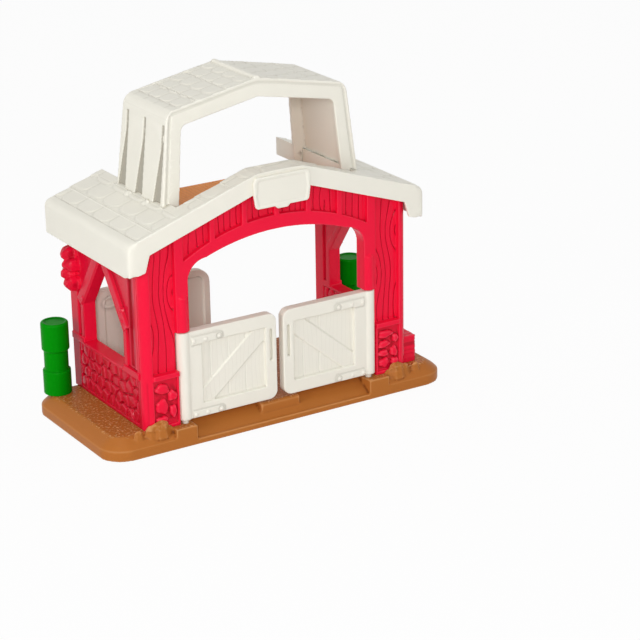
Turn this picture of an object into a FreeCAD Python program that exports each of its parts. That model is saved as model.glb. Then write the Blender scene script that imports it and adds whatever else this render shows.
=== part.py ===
import FreeCAD, Part
import math
import os

# Toy barn with swinging doors, a carry handle and a green drum post on each side.
# X runs along the front, Y from the front to the back and Z up.
# The origin is under the middle of the barn, on the surface it stands on.
# All sizes are in millimetres.

V = FreeCAD.Vector

# Clearances
SEAM_GAP = 0.2
SWING_GAP = 0.4
PIVOT_GAP = 0.06
OVERRUN = 5.0

# Base tray
BASE_WIDTH = 245.6
BASE_DEPTH = 108.0
BASE_CORNER = 16.0
BASE_APRON = 5.6
BASE_SKIN = 2.4
SKIRT_HEIGHT = 6.4
RIM_HEIGHT = 9.0
RIM_INSET = 2.7
DECK_HEIGHT = 12.8
DECK_INSET = 8.0
LIP_HEIGHT = 3.6
LIP_DEPTH = 2.0
RAMP_FOOT_HEIGHT = 6.4
PAD_OUTER_INSET = 17.5
PAD_DEPTH = 9.0
STOP_HALF_WIDTH = 13.9
STOP_FRONT_Y = 0.7
TRAY_RIB = 1.8
TRAY_RIB_SHARES = (-0.72, -0.36, 0.0, 0.36, 0.72)
MOUND_RADIUS = 8.6
MOUND_INSET = 7.5
MOUND_WIDTH = 22.0
MOUND_BACK_Y = 3.2
MOUND_PLACE_SHARES = (-0.34, -0.06, 0.2, 0.62)
MOUND_SIZE_SHARES = (0.62, 1.0, 0.78, 0.66)

# House walls, set in from the tray's edges
HOUSE_SIDE_INSET = 27.8
HOUSE_REAR_INSET = 5.4
SIDE_THICKNESS = 8.4
FRONT_THICKNESS = 6.0
FRONT_CORNER = 5.4
REVEAL_DEPTH = 9.4
REVEAL_WIDTH = 4.6
RELIEF = 1.4
FRONT_RELIEF = 3.2
LEDGE_PROUD = 1.2
LEDGE_HEIGHT = 3.0
LEDGE_TOP_Z = 48.0
CORNER_STRIP = 6.0
FRONT_POST = 22.2
FIELD_FOOT_Z = 15.0

# Doorway arch, set in from the house's sides
JAMB_INSET = 32.0
DOORWAY_INSET = 23.4
DOORWAY_GAP = 0.6
SPRING_Z = 103.0
SHOULDER_INSET = 45.0
SHOULDER_Z = 116.6
CROWN_Z = 125.5
BAND_FOOT_INSET = 29.5
BAND_FOOT_Z = 116.7
BAND_CROWN_Z = 134.4
BATTEN_WIDTH = 3.4
BATTEN_SHARES = (-0.69, -0.345, 0.0, 0.345, 0.69)
COLUMN_RADIUS = 4.4
COLUMN_HEIGHT = 22.0
COLUMN_TIP = 3.2
COLUMN_TIP_RADIUS = 2.0

# Side windows, as places from the front wall's face
WINDOW_FRONT_Y = 26.1
WINDOW_REAR_INSET = 18.0
WINDOW_SILL_Z = 47.0
WINDOW_JAMB_Z = 72.5
WINDOW_APEX_Z = 109.0
WINDOW_TRIM = 4.4
RAIL_TOP_Z = 49.6
RAIL_HEIGHT = 4.2
REAR_POST = 10.0
FRONT_STILE = 3.0

# Bale beside the right wall and hanging bundle on the left wall
BALE_WIDTH = 8.5
BALE_DEPTH = 24.0
BALE_FRONT_Y = 8.0
BALE_HEIGHT = 18.2
BALE_EDGE = 1.6
BALE_BAND = 1.1
BALE_BAND_SHARES = (0.72, 0.86)
BUNDLE_TOP_Z = 109.0
BUNDLE_HEIGHT = 31.0
BUNDLE_RADIUS = 6.2
BUNDLE_PROUD = 8.3
BUNDLE_LOBES = 4
BUNDLE_REAR_MARGIN = 7.0

# Front doors
DOOR_AXIS_INSET = 28.1
DOOR_AXIS_Y = 2.85
DOOR_BARREL_RADIUS = 4.2
DOOR_BOTTOM_Z = 15.0
DOOR_HEIGHT = 56.6
DOOR_THICKNESS = 6.0
DOOR_CORNER = 5.5
DOOR_HALF_GAP = 2.5
DOOR_RELIEF = 2.6
DOOR_BACK_RELIEF = 0.9
DOOR_RAIL = 8.6
DOOR_STILE = 7.6
DOOR_BRACE = 8.0
BRACE_PROUD = 1.0
PLANK_GROOVE = 0.7
LEFT_PLANK_SHARES = (0.298, 0.569, 0.844)
RIGHT_PLANK_SHARES = (0.176, 0.442, 0.696)
SLOT_WIDTH = 2.0
SLOT_DEPTH = 2.4
SLOT_HEIGHT = 21.0
SLOT_DROP = 10.1
PIVOT_RADIUS = 2.0
PIVOT_LENGTH = 4.0

# Rear door
REAR_AXIS_INSET = 12.7
REAR_AXIS_BACK = 3.0
REAR_BARREL_RADIUS = 3.7
REAR_FREE_X = 2.0
REAR_HEIGHT = 60.0
REAR_THICKNESS = 5.6
REAR_CORNER = 9.0
REAR_RIM = 4.2
REAR_DISH = 1.5
LUG_HEIGHT = 6.0
LUG_WALL = 2.6

# Roof, reaching out from the house's sides
ROOF_OVERHANG = 5.3
ROOF_REAR_OVERHANG = 9.9
ROOF_SKIN = 2.5
EAVE_REACH = 9.7
EAVE_Z = 113.9
EAVE_INNER_INSET = 1.4
EAVE_INNER_Z = 116.7
EAVE_ROUND = 5.0
KNEE_REACH = 4.5
KNEE_Z = 136.4
RIDGE_X = 15.75
RIDGE_Z = 164.4
RIDGE_ROUND = 14.0
ROOF_COURSES = 5
COURSE_STEP = 0.6
FASCIA_KNEE_INSET = 4.5
FASCIA_KNEE_Z = 127.0
FASCIA_RIDGE_X = 20.0
FASCIA_RIDGE_Z = 150.8
STRIP_DEPTH = 15.3
LOBE_INNER_INSET = 31.0

# Loft floor
LOFT_TOP_Z = 129.5
LOFT_THICKNESS = 4.5
LOFT_PLANKS = 9
LOFT_GROOVE = 0.8
LOFT_LEDGE_WIDTH = 5.0
LOFT_LEDGE_HEIGHT = 4.0

# Carry handle
HANDLE_FRONT_INSET = 16.0
HANDLE_REAR_INSET = 20.0
HANDLE_LEAN = 4.0
HANDLE_FOOT_INSET = 25.8
HANDLE_FOOT_Z = 146.0
HANDLE_RIDGE_Z = 215.8
HANDLE_CORNER_INSET = 6.3
HANDLE_CORNER_DROP = 12.2
HANDLE_CORNER = 8.5
HANDLE_COURSES = 3
HANDLE_RIDGE_ROUND = 8.0
HANDLE_SKIN = 2.8
HANDLE_RIM = 2.2
HANDLE_SUNK = 0.9
RIDGE_BEAD = 3.2
LEG_WIDTH = 11.4
GRIP_CORNER_INSET = 4.3
GRIP_CORNER_DROP = 21.8
GRIP_CORNER = 5.0
GRIP_RIDGE_DROP = 11.9
LINER_SKIN = 2.4
LEG_GROOVE = 1.6
LEG_GROOVE_DROP = 7.6
LEG_GROOVE_WIDTH_SHARE = 0.17
LEG_GROOVE_SHARES = (0.075, 0.456, 0.816)
FOOT_BLOCK = 6.0
FOOT_HEIGHT = 4.5
FOOT_SCREW_INSET = 6.2

# Sign plate
SIGN_THICKNESS = 2.0
SIGN_WIDTH = 40.0
SIGN_TOP_WIDTH = 31.0
SIGN_FOOT_WIDTH = 35.0
SIGN_TOP_Z = 162.0
SIGN_SIDE_Z = 151.0
SIGN_FOOT_Z = 142.4
SIGN_TAB_WIDTH = 10.0
SIGN_TAB = 1.8
SIGN_CORNER = 2.0
SIGN_RIM = 1.6
SIGN_DISH = 0.5
SIGN_PEG_RADIUS = 1.6
SIGN_PEG_PITCH = 20.0
SIGN_PEG_Z = 155.0

# Drum posts, set in from the tray's edges
DRUM_SIDE_INSET = 12.7
DRUM_REAR_INSET = 11.1
DRUM_LOWER_RADIUS = 8.9
DRUM_LOWER_HEIGHT = 15.7
DRUM_NECK_RADIUS = 7.7
DRUM_NECK_HEIGHT = 13.7
DRUM_UPPER_RADIUS = 8.8
DRUM_UPPER_HEIGHT = 18.3
DRUM_BEVEL = 0.8
DRUM_SKIN = 2.2
DRUM_BOSS_RADIUS = 3.2
DRUM_BOSS_HEIGHT = 14.0

# Screws, their holes and hidden bosses have few sides
STUB_SIDES = 12
SCREW_RADIUS = 1.2
SCREW_HEAD_RADIUS = 2.6
SCREW_HEAD = 1.8
SCREW_LENGTH = 10.0
LEDGE_SCREW_LENGTH = 7.0
SCREW_CLEARANCE = 0.3
SCREW_FIT = 0.05
BOSS_RADIUS = 3.6
SIDE_SCREW_SHARES = (0.14, 0.5, 0.86)
FRONT_SCREW_INSET = 12.0
LOFT_SCREW_SHARES = (0.12, 0.88)
ROOF_SCREW_INSET = 19.0
ROOF_SCREW_SHARES = (0.12, 0.88)

# Lumps and lobes are domes of flat facets, with rings at these shares of a quarter turn
DOME_SIDES = 10
DOME_RING_SHARES = (0.0, 0.45, 0.84)

# Places that the sizes above lead to
HALF_HOUSE = BASE_WIDTH / 2 - HOUSE_SIDE_INSET
HOUSE_DEPTH = BASE_DEPTH - BASE_APRON - HOUSE_REAR_INSET
ROOF_DEPTH = ROOF_OVERHANG + HOUSE_DEPTH + ROOF_REAR_OVERHANG
BACK_Y = (ROOF_DEPTH + SIGN_THICKNESS) / 2
ROOF_FRONT_Y = BACK_Y - ROOF_DEPTH
WALL_Y = ROOF_FRONT_Y + ROOF_OVERHANG
HOUSE_BACK_Y = WALL_Y + HOUSE_DEPTH
SIDE_FRONT_Y = WALL_Y + FRONT_THICKNESS + SEAM_GAP
BASE_FRONT_Y = WALL_Y - BASE_APRON
BASE_BACK_Y = BASE_FRONT_Y + BASE_DEPTH
INNER_X = HALF_HOUSE - SIDE_THICKNESS
PAD_OUTER_X = HALF_HOUSE - PAD_OUTER_INSET
POST_INNER_X = HALF_HOUSE - FRONT_POST
JAMB_X = HALF_HOUSE - JAMB_INSET
DOORWAY_X = HALF_HOUSE - DOORWAY_INSET
DOORWAY_TOP_Z = DOOR_BOTTOM_Z + DOOR_HEIGHT + DOORWAY_GAP
SHOULDER_X = HALF_HOUSE - SHOULDER_INSET
BAND_FOOT_X = HALF_HOUSE - BAND_FOOT_INSET
DOOR_AXIS_X = HALF_HOUSE - DOOR_AXIS_INSET
HINGE_Y = WALL_Y + DOOR_AXIS_Y
REAR_AXIS_X = HALF_HOUSE - REAR_AXIS_INSET
REAR_AXIS_Y = HOUSE_BACK_Y - REAR_AXIS_BACK
LOFT_BOTTOM_Z = LOFT_TOP_Z - LOFT_THICKNESS
EAVE_X = HALF_HOUSE + EAVE_REACH
KNEE_X = HALF_HOUSE + KNEE_REACH
LOBE_INNER_X = HALF_HOUSE - LOBE_INNER_INSET
ROOF_SLOPE = (RIDGE_Z - KNEE_Z) / (KNEE_X - RIDGE_X)
SKIN_DROP = ROOF_SKIN * math.sqrt(1 + ROOF_SLOPE ** 2)
HANDLE_FOOT_X = HALF_HOUSE - HANDLE_FOOT_INSET
HANDLE_CORNER_X = HANDLE_FOOT_X - HANDLE_CORNER_INSET
HANDLE_CORNER_Z = HANDLE_RIDGE_Z - HANDLE_CORNER_DROP
HANDLE_SLOPE = HANDLE_CORNER_INSET / (HANDLE_CORNER_Z - HANDLE_FOOT_Z)
HANDLE_BASE_X = HANDLE_FOOT_X + (HANDLE_FOOT_Z - LOFT_TOP_Z) * HANDLE_SLOPE
GRIP_FOOT_X = HANDLE_FOOT_X - LEG_WIDTH
GRIP_CORNER_X = GRIP_FOOT_X - GRIP_CORNER_INSET
GRIP_CORNER_Z = HANDLE_RIDGE_Z - GRIP_CORNER_DROP
GRIP_RIDGE_Z = HANDLE_RIDGE_Z - GRIP_RIDGE_DROP
GRIP_SLOPE = GRIP_CORNER_INSET / (GRIP_CORNER_Z - HANDLE_FOOT_Z)
GRIP_BASE_X = GRIP_FOOT_X + (HANDLE_FOOT_Z - LOFT_TOP_Z) * GRIP_SLOPE
HANDLE_Y = WALL_Y + HANDLE_FRONT_INSET
HANDLE_BACK_Y = HOUSE_BACK_Y - HANDLE_REAR_INSET
HANDLE_DEPTH = HANDLE_BACK_Y - HANDLE_Y
STRIP_BACK_Y = ROOF_FRONT_Y + STRIP_DEPTH


def at(axis, a, b, along=0.0):
    """Point with two coordinates in the plane across an axis and one along it."""
    if axis == "x":
        return V(along, a, b)
    if axis == "y":
        return V(a, along, b)
    return V(a, b, along)


def corner_arc(before, here, after, radius):
    """Start, middle and end of the arc that rounds a corner."""
    back = (before - here).normalize()
    ahead = (after - here).normalize()
    half = back.getAngle(ahead) / 2
    reach = radius / math.tan(half)
    middle = (back + ahead).normalize() * (radius / math.sin(half) - radius)
    return here + back * reach, here + middle, here + ahead * reach


def outline(corners, axis, along):
    """Closed wire through corners (a, b) or rounded corners (a, b, radius)."""
    points = [at(axis, corner[0], corner[1], along) for corner in corners]
    stops = []
    for index, corner in enumerate(corners):
        here = points[index]
        if len(corner) > 2:
            after = points[(index + 1) % len(points)]
            stops.append(corner_arc(points[index - 1], here, after, corner[2]))
        else:
            stops.append((here, here, here))
    edges = []
    for index, (start, middle, end) in enumerate(stops):
        if (end - start).Length > 0:
            edges.append(Part.Arc(start, middle, end).toShape())
        following = stops[(index + 1) % len(stops)][0]
        if (following - end).Length > 0:
            edges.append(Part.LineSegment(end, following).toShape())
    return Part.Wire(edges)


def prism(corners, axis, low, high):
    """Solid whose outline runs along an axis from low to high."""
    low, high = min(low, high), max(low, high)
    face = Part.Face(outline(corners, axis, low))
    return face.extrude(at(axis, 0, 0, high - low))


def block(x0, x1, y0, y1, z0, z1):
    """Box between two opposite corners."""
    low = V(min(x0, x1), min(y0, y1), min(z0, z1))
    return Part.makeBox(abs(x1 - x0), abs(y1 - y0), abs(z1 - z0), low)


def post(radius, x, y, z0, z1):
    """Upright cylinder."""
    return Part.makeCylinder(radius, z1 - z0, V(x, y, z0))


def polygon(a, b, radius, sides):
    """Corners of a regular outline about a centre."""
    turn = 2 * math.pi / sides
    return [(a + radius * math.cos(turn * step), b + radius * math.sin(turn * step)) for step in range(sides)]


def stub(radius, x, y, z0, z1):
    """Upright prism with few sides."""
    return prism(polygon(x, y, radius, STUB_SIDES), "z", z0, z1)


def dome(axis, a, b, foot, radius, height):
    """Dome of flat facets that rises along an axis from its foot."""
    rings = []
    for share in DOME_RING_SHARES:
        rise = share * math.pi / 2
        corners = polygon(a, b, radius * math.cos(rise), DOME_SIDES)
        rings.append(outline(corners, axis, foot + height * math.sin(rise)))
    return Part.makeLoft(rings, True, True)


def fused(shapes):
    """One solid from shapes that touch or overlap."""
    return shapes[0].multiFuse(shapes[1:]).removeSplitter()


def mirrored(shape):
    """The same shape on the other side of the barn's middle plane."""
    return shape.mirror(V(0, 0, 0), V(1, 0, 0))


def spread(low, high, shares):
    """Places between two ends."""
    return [low + (high - low) * share for share in shares]


def roof_z(x):
    """Height of the roof's top slope at a distance from the middle."""
    return RIDGE_Z - (abs(x) - RIDGE_X) * ROOF_SLOPE


def under_roof_z(x):
    """Height that a wall may reach under the roof's skin."""
    return roof_z(x) - SKIN_DROP - SEAM_GAP


def screw(x, y, seat_z, length):
    """Screw driven upwards, with its head against a seat."""
    head = stub(SCREW_HEAD_RADIUS, x, y, seat_z - SCREW_HEAD, seat_z)
    shank = stub(SCREW_RADIUS, x, y, seat_z - SCREW_HEAD / 2, seat_z + length)
    return fused([head, shank])


def pilot(x, y, z0, z1):
    """Hole that a screw bites into."""
    return stub(SCREW_RADIUS + SCREW_FIT, x, y, z0, z1)


def through(x, y, z0, z1):
    """Hole that a screw passes through."""
    return stub(SCREW_RADIUS + SCREW_CLEARANCE, x, y, z0, z1)


def side_screw_places():
    """Where screws hold the side walls down, right side only."""
    x = HALF_HOUSE - SIDE_THICKNESS / 2
    return [(x, y) for y in spread(SIDE_FRONT_Y, HOUSE_BACK_Y, SIDE_SCREW_SHARES)]


def loft_screw_places():
    """Where screws hold the loft floor to its ledges, right side only."""
    x = INNER_X - LOFT_LEDGE_WIDTH / 2
    return [(x, y) for y in spread(SIDE_FRONT_Y, HOUSE_BACK_Y, LOFT_SCREW_SHARES)]


def roof_screw_places():
    """Where screws hold the roof to the loft floor, right side only."""
    x = HALF_HOUSE - ROOF_SCREW_INSET
    return [(x, y) for y in spread(SIDE_FRONT_Y, HOUSE_BACK_Y, ROOF_SCREW_SHARES)]


def foot_screw_places():
    """Where screws hold the handle's feet to the loft floor, right side only."""
    x = (GRIP_BASE_X + LOBE_INNER_X - SEAM_GAP) / 2
    return [(x, HANDLE_Y + FOOT_SCREW_INSET), (x, HANDLE_BACK_Y - FOOT_SCREW_INSET)]


def front_screw_place():
    """Where a screw holds each leg of the front wall down, right side only."""
    return HALF_HOUSE - FRONT_SCREW_INSET, WALL_Y + FRONT_THICKNESS / 2


def drum_place():
    """Where the right drum post stands."""
    return BASE_WIDTH / 2 - DRUM_SIDE_INSET, BASE_BACK_Y - DRUM_REAR_INSET


def both_sides(places):
    """The same places on the right and on the left."""
    return [(side * x, y) for side in (1, -1) for x, y in places]


def tray_plan(inset):
    """Rounded plan of the tray, drawn in by an inset."""
    half = BASE_WIDTH / 2 - inset
    front = BASE_FRONT_Y + inset
    back = BASE_BACK_Y - inset
    radius = BASE_CORNER - inset
    return [(-half, front, radius), (half, front, radius), (half, back, radius), (-half, back, radius)]


def tray_form(inset, drop):
    """Tray's outer form, drawn in and lowered to make its hollow."""
    def ring(extra, height):
        return outline(tray_plan(inset + extra), "z", height - drop)
    skirt = prism(tray_plan(inset), "z", -drop, SKIRT_HEIGHT - drop)
    rim = Part.makeLoft([ring(0, SKIRT_HEIGHT), ring(RIM_INSET, RIM_HEIGHT)], True, True)
    deck = Part.makeLoft([ring(RIM_INSET, RIM_HEIGHT), ring(DECK_INSET, DECK_HEIGHT)], True, True)
    return fused([skirt, rim, deck])


def ramp_cut(x0, x1):
    """Space above one ramp, from its low lip to the deck."""
    front = BASE_FRONT_Y
    slope = (RAMP_FOOT_HEIGHT - LIP_HEIGHT) / (WALL_Y + STOP_FRONT_Y - front - LIP_DEPTH)
    top_y = front + LIP_DEPTH + (DECK_HEIGHT - LIP_HEIGHT) / slope
    end_z = DECK_HEIGHT + OVERRUN * slope
    side = [(front - OVERRUN, LIP_HEIGHT), (front + LIP_DEPTH, LIP_HEIGHT), (top_y + OVERRUN, end_z)]
    return prism(side + [(front - OVERRUN, end_z)], "x", x0, x1)


def tray_mounds(side):
    """Lumps of earth at the foot of a front corner."""
    lumps = []
    for place, size in zip(MOUND_PLACE_SHARES, MOUND_SIZE_SHARES):
        x = side * (HALF_HOUSE - MOUND_INSET + MOUND_WIDTH * place)
        radius = MOUND_RADIUS * size
        height = DECK_HEIGHT - RIM_HEIGHT + radius
        lumps.append(dome("z", x, WALL_Y + MOUND_BACK_Y, RIM_HEIGHT, radius, height))
    lump = fused(lumps)
    zone = block(side * PAD_OUTER_X, side * BASE_WIDTH / 2, BASE_FRONT_Y, WALL_Y - SEAM_GAP,
                 RIM_HEIGHT - SEAM_GAP, DECK_HEIGHT + 2 * MOUND_RADIUS)
    return lump.common(zone)


def base_tray():
    """Brown tray with a raised deck, door pads, ramps, a door stop and ribs below."""
    outer = tray_form(0, 0)
    pad_top = DECK_HEIGHT
    pads = [block(side * JAMB_X, side * PAD_OUTER_X, BASE_FRONT_Y, WALL_Y + PAD_DEPTH, 0, pad_top)
            for side in (1, -1)]
    tray = fused([outer] + pads + [tray_mounds(1), tray_mounds(-1)])
    tray = tray.cut(ramp_cut(STOP_HALF_WIDTH, JAMB_X))
    tray = tray.cut(ramp_cut(-JAMB_X, -STOP_HALF_WIDTH))
    lip_zone = block(-STOP_HALF_WIDTH, STOP_HALF_WIDTH, BASE_FRONT_Y - OVERRUN, WALL_Y + STOP_FRONT_Y,
                     0, DECK_HEIGHT + OVERRUN)
    tray = tray.cut(ramp_cut(-STOP_HALF_WIDTH, STOP_HALF_WIDTH).common(lip_zone))

    hollow_front = WALL_Y + PAD_DEPTH + BASE_SKIN
    reach = BASE_WIDTH
    hollow = tray_form(BASE_SKIN, BASE_SKIN)
    hollow = hollow.common(block(-reach, reach, hollow_front, BASE_BACK_Y, -OVERRUN, DECK_HEIGHT))
    for x in [BASE_WIDTH / 2 * share for share in TRAY_RIB_SHARES]:
        rib = block(x - TRAY_RIB / 2, x + TRAY_RIB / 2, hollow_front - OVERRUN, BASE_BACK_Y + OVERRUN,
                    SCREW_HEAD, DECK_HEIGHT)
        hollow = hollow.cut(rib)
    seat_z = DECK_HEIGHT - BASE_SKIN
    for x, y in both_sides(side_screw_places() + [drum_place()]):
        ring = stub(BOSS_RADIUS + BASE_SKIN / 2, x, y, SCREW_HEAD, DECK_HEIGHT)
        hollow = hollow.cut(ring).fuse(stub(BOSS_RADIUS, x, y, -OVERRUN, seat_z))
    tray = tray.cut(hollow)
    for x, y in both_sides([front_screw_place()]):
        tray = tray.cut(stub(BOSS_RADIUS, x, y, -OVERRUN, seat_z))
    for x, y in both_sides(side_screw_places() + [drum_place(), front_screw_place()]):
        tray = tray.cut(through(x, y, 0, DECK_HEIGHT + OVERRUN))
    pivot_floor = DECK_HEIGHT - PIVOT_LENGTH - SWING_GAP
    for x, y in ((DOOR_AXIS_X, HINGE_Y), (-DOOR_AXIS_X, HINGE_Y), (-REAR_AXIS_X, REAR_AXIS_Y)):
        tray = tray.fuse(stub(PIVOT_RADIUS + BASE_SKIN, x, y, SCREW_HEAD, DECK_HEIGHT))
        tray = tray.cut(post(PIVOT_RADIUS + PIVOT_GAP, x, y, pivot_floor, DECK_HEIGHT + OVERRUN))
    return tray.removeSplitter()


def arch_wire_corners(grow):
    """Edges of the arch above the doorway, grown outwards by a margin."""
    jamb = JAMB_X + grow
    shoulder_x = SHOULDER_X + grow / 2
    shoulder_z = SHOULDER_Z + grow
    crown_z = CROWN_Z + grow
    turn_x = shoulder_x + (jamb - shoulder_x) * math.sin(math.pi / 4)
    turn_z = SPRING_Z + (shoulder_z - SPRING_Z) * math.sin(math.pi / 4)
    return jamb, shoulder_x, shoulder_z, crown_z, turn_x, turn_z


def arch_solid(grow, foot_z, y0, y1):
    """Solid that fills the arch from a foot height up."""
    jamb, shoulder_x, shoulder_z, crown_z, turn_x, turn_z = arch_wire_corners(grow)
    foot_left = V(-jamb, y0, foot_z)
    foot_right = V(jamb, y0, foot_z)
    spring_left = V(-jamb, y0, SPRING_Z)
    spring_right = V(jamb, y0, SPRING_Z)
    shoulder_left = V(-shoulder_x, y0, shoulder_z)
    shoulder_right = V(shoulder_x, y0, shoulder_z)
    edges = [
        Part.LineSegment(foot_left, spring_left).toShape(),
        Part.Arc(spring_left, V(-turn_x, y0, turn_z), shoulder_left).toShape(),
        Part.Arc(shoulder_left, V(0, y0, crown_z), shoulder_right).toShape(),
        Part.Arc(shoulder_right, V(turn_x, y0, turn_z), spring_right).toShape(),
        Part.LineSegment(spring_right, foot_right).toShape(),
        Part.LineSegment(foot_right, foot_left).toShape(),
    ]
    return Part.Face(Part.Wire(edges)).extrude(V(0, y1 - y0, 0))


def band_solid(y0, y1):
    """Solid under the outer curve of the raised band over the arch."""
    left = V(-BAND_FOOT_X, y0, BAND_FOOT_Z)
    right = V(BAND_FOOT_X, y0, BAND_FOOT_Z)
    curve = Part.Arc(left, V(0, y0, BAND_CROWN_Z), right).toShape()
    chord = Part.LineSegment(right, left).toShape()
    return Part.Face(Part.Wire([curve, chord])).extrude(V(0, y1 - y0, 0))


def front_wall_slab():
    """Front wall before its relief, rounded at its two front corners."""
    ridge = under_roof_z(RIDGE_X)
    shoulder = under_roof_z(HALF_HOUSE)
    face = prism([(-HALF_HOUSE, DECK_HEIGHT), (HALF_HOUSE, DECK_HEIGHT), (HALF_HOUSE, shoulder),
                  (RIDGE_X, ridge), (-RIDGE_X, ridge), (-HALF_HOUSE, shoulder)],
                 "y", WALL_Y, WALL_Y + FRONT_THICKNESS)
    back = WALL_Y + FRONT_THICKNESS
    plan = prism([(-HALF_HOUSE, WALL_Y, FRONT_CORNER), (HALF_HOUSE, WALL_Y, FRONT_CORNER),
                  (HALF_HOUSE, back), (-HALF_HOUSE, back)], "z", DECK_HEIGHT, ridge)
    return face.common(plan)


def front_wall():
    """Front wall with an arched doorway, a raised band, battens, posts and ledges."""
    top = RIDGE_Z + OVERRUN
    back = WALL_Y + FRONT_THICKNESS
    wall = front_wall_slab()

    battens_clear = block(-BAND_FOOT_X, BAND_FOOT_X, WALL_Y - OVERRUN, WALL_Y + FRONT_RELIEF,
                          BAND_FOOT_Z, top)
    battens_clear = battens_clear.cut(band_solid(WALL_Y - OVERRUN, back))
    for x in [BAND_FOOT_X * share for share in BATTEN_SHARES]:
        batten = block(x - BATTEN_WIDTH / 2, x + BATTEN_WIDTH / 2, WALL_Y - OVERRUN, back,
                       BAND_FOOT_Z, top)
        battens_clear = battens_clear.cut(batten)
    wall = wall.cut(battens_clear)

    strip_x = HALF_HOUSE - CORNER_STRIP
    for side in (1, -1):
        upper = block(side * DOORWAY_X, side * strip_x, WALL_Y - OVERRUN, WALL_Y + FRONT_RELIEF,
                      LEDGE_TOP_Z, top)
        lower = block(side * POST_INNER_X, side * strip_x, WALL_Y - OVERRUN, WALL_Y + RELIEF,
                      FIELD_FOOT_Z, LEDGE_TOP_Z - LEDGE_HEIGHT)
        wall = wall.cut(upper).cut(lower)
        ledge = block(side * DOORWAY_X, side * strip_x, WALL_Y - LEDGE_PROUD, WALL_Y + FRONT_RELIEF,
                      LEDGE_TOP_Z - LEDGE_HEIGHT, LEDGE_TOP_Z)
        column = post(COLUMN_RADIUS, side * DOOR_AXIS_X, HINGE_Y, DOORWAY_TOP_Z,
                      DOORWAY_TOP_Z + COLUMN_HEIGHT)
        cap = Part.makeCone(COLUMN_RADIUS, COLUMN_TIP_RADIUS, COLUMN_TIP,
                            V(side * DOOR_AXIS_X, HINGE_Y, DOORWAY_TOP_Z + COLUMN_HEIGHT))
        wall = wall.fuse(ledge).fuse(column).fuse(cap)

    reveal_back = WALL_Y + REVEAL_DEPTH
    rim = arch_solid(REVEAL_WIDTH, DOORWAY_TOP_Z, back - RELIEF, reveal_back)
    wall = wall.fuse(rim)
    wall = wall.cut(arch_solid(0, 0, WALL_Y - OVERRUN, reveal_back + OVERRUN))
    wall = wall.cut(block(-DOORWAY_X, DOORWAY_X, WALL_Y - OVERRUN, reveal_back + OVERRUN,
                          0, DOORWAY_TOP_Z))
    for x, y in both_sides([front_screw_place()]):
        wall = wall.cut(pilot(x, y, 0, DECK_HEIGHT - BASE_SKIN + SCREW_LENGTH))
    socket_top = DOORWAY_TOP_Z + PIVOT_LENGTH + SWING_GAP
    for side in (1, -1):
        wall = wall.cut(post(PIVOT_RADIUS + PIVOT_GAP, side * DOOR_AXIS_X, HINGE_Y,
                             DOORWAY_TOP_Z - OVERRUN, socket_top))
    return wall.removeSplitter()


def window_corners(grow):
    """Five-sided window outline, grown outwards by a margin."""
    front = WALL_Y + WINDOW_FRONT_Y - grow
    back = HOUSE_BACK_Y - WINDOW_REAR_INSET + grow
    middle = (front + back) / 2
    return [(front, WINDOW_SILL_Z), (back, WINDOW_SILL_Z), (back, WINDOW_JAMB_Z + grow / 2),
            (middle, WINDOW_APEX_Z + grow), (front, WINDOW_JAMB_Z + grow / 2)]


def wall_fields(x0, x1):
    """Spaces that leave the posts, the rail and the window's trim standing proud."""
    front = SIDE_FRONT_Y + FRONT_STILE
    back = HOUSE_BACK_Y - REAR_POST
    rail_foot = RAIL_TOP_Z - RAIL_HEIGHT
    lower = block(x0, x1, front, back, FIELD_FOOT_Z, rail_foot)
    upper = block(x0, x1, front, back, RAIL_TOP_Z, LOFT_BOTTOM_Z - LOFT_LEDGE_HEIGHT)
    trim = prism(window_corners(WINDOW_TRIM), "x", x0 - OVERRUN, x1 + OVERRUN)
    return lower.fuse(upper.cut(trim))


def side_wall():
    """Right-hand side wall with its window, relief on both faces and loft ledge."""
    wall = prism([(INNER_X, DECK_HEIGHT), (HALF_HOUSE, DECK_HEIGHT),
                  (HALF_HOUSE, under_roof_z(HALF_HOUSE)), (INNER_X, under_roof_z(INNER_X))],
                 "y", SIDE_FRONT_Y, HOUSE_BACK_Y)
    wall = wall.cut(wall_fields(HALF_HOUSE - RELIEF, HALF_HOUSE + OVERRUN))
    wall = wall.cut(wall_fields(INNER_X - OVERRUN, INNER_X + RELIEF))
    rail = block(HALF_HOUSE - RELIEF, HALF_HOUSE + LEDGE_PROUD, SIDE_FRONT_Y, HOUSE_BACK_Y - LEDGE_PROUD,
                 RAIL_TOP_Z - RAIL_HEIGHT, RAIL_TOP_Z)
    ledge_front = WALL_Y + REVEAL_DEPTH + SEAM_GAP
    ledge = block(INNER_X - LOFT_LEDGE_WIDTH, INNER_X + RELIEF, ledge_front, HOUSE_BACK_Y,
                  LOFT_BOTTOM_Z - LOFT_LEDGE_HEIGHT, LOFT_BOTTOM_Z)
    wall = wall.fuse(rail).fuse(ledge)
    wall = wall.cut(prism(window_corners(0), "x", INNER_X - OVERRUN, HALF_HOUSE + OVERRUN))
    for x, y in side_screw_places():
        wall = wall.cut(pilot(x, y, 0, DECK_HEIGHT - BASE_SKIN + SCREW_LENGTH))
    for x, y in loft_screw_places():
        wall = wall.cut(through(x, y, LOFT_BOTTOM_Z - LOFT_LEDGE_HEIGHT - OVERRUN,
                                LOFT_BOTTOM_Z + OVERRUN))
    return wall


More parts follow.
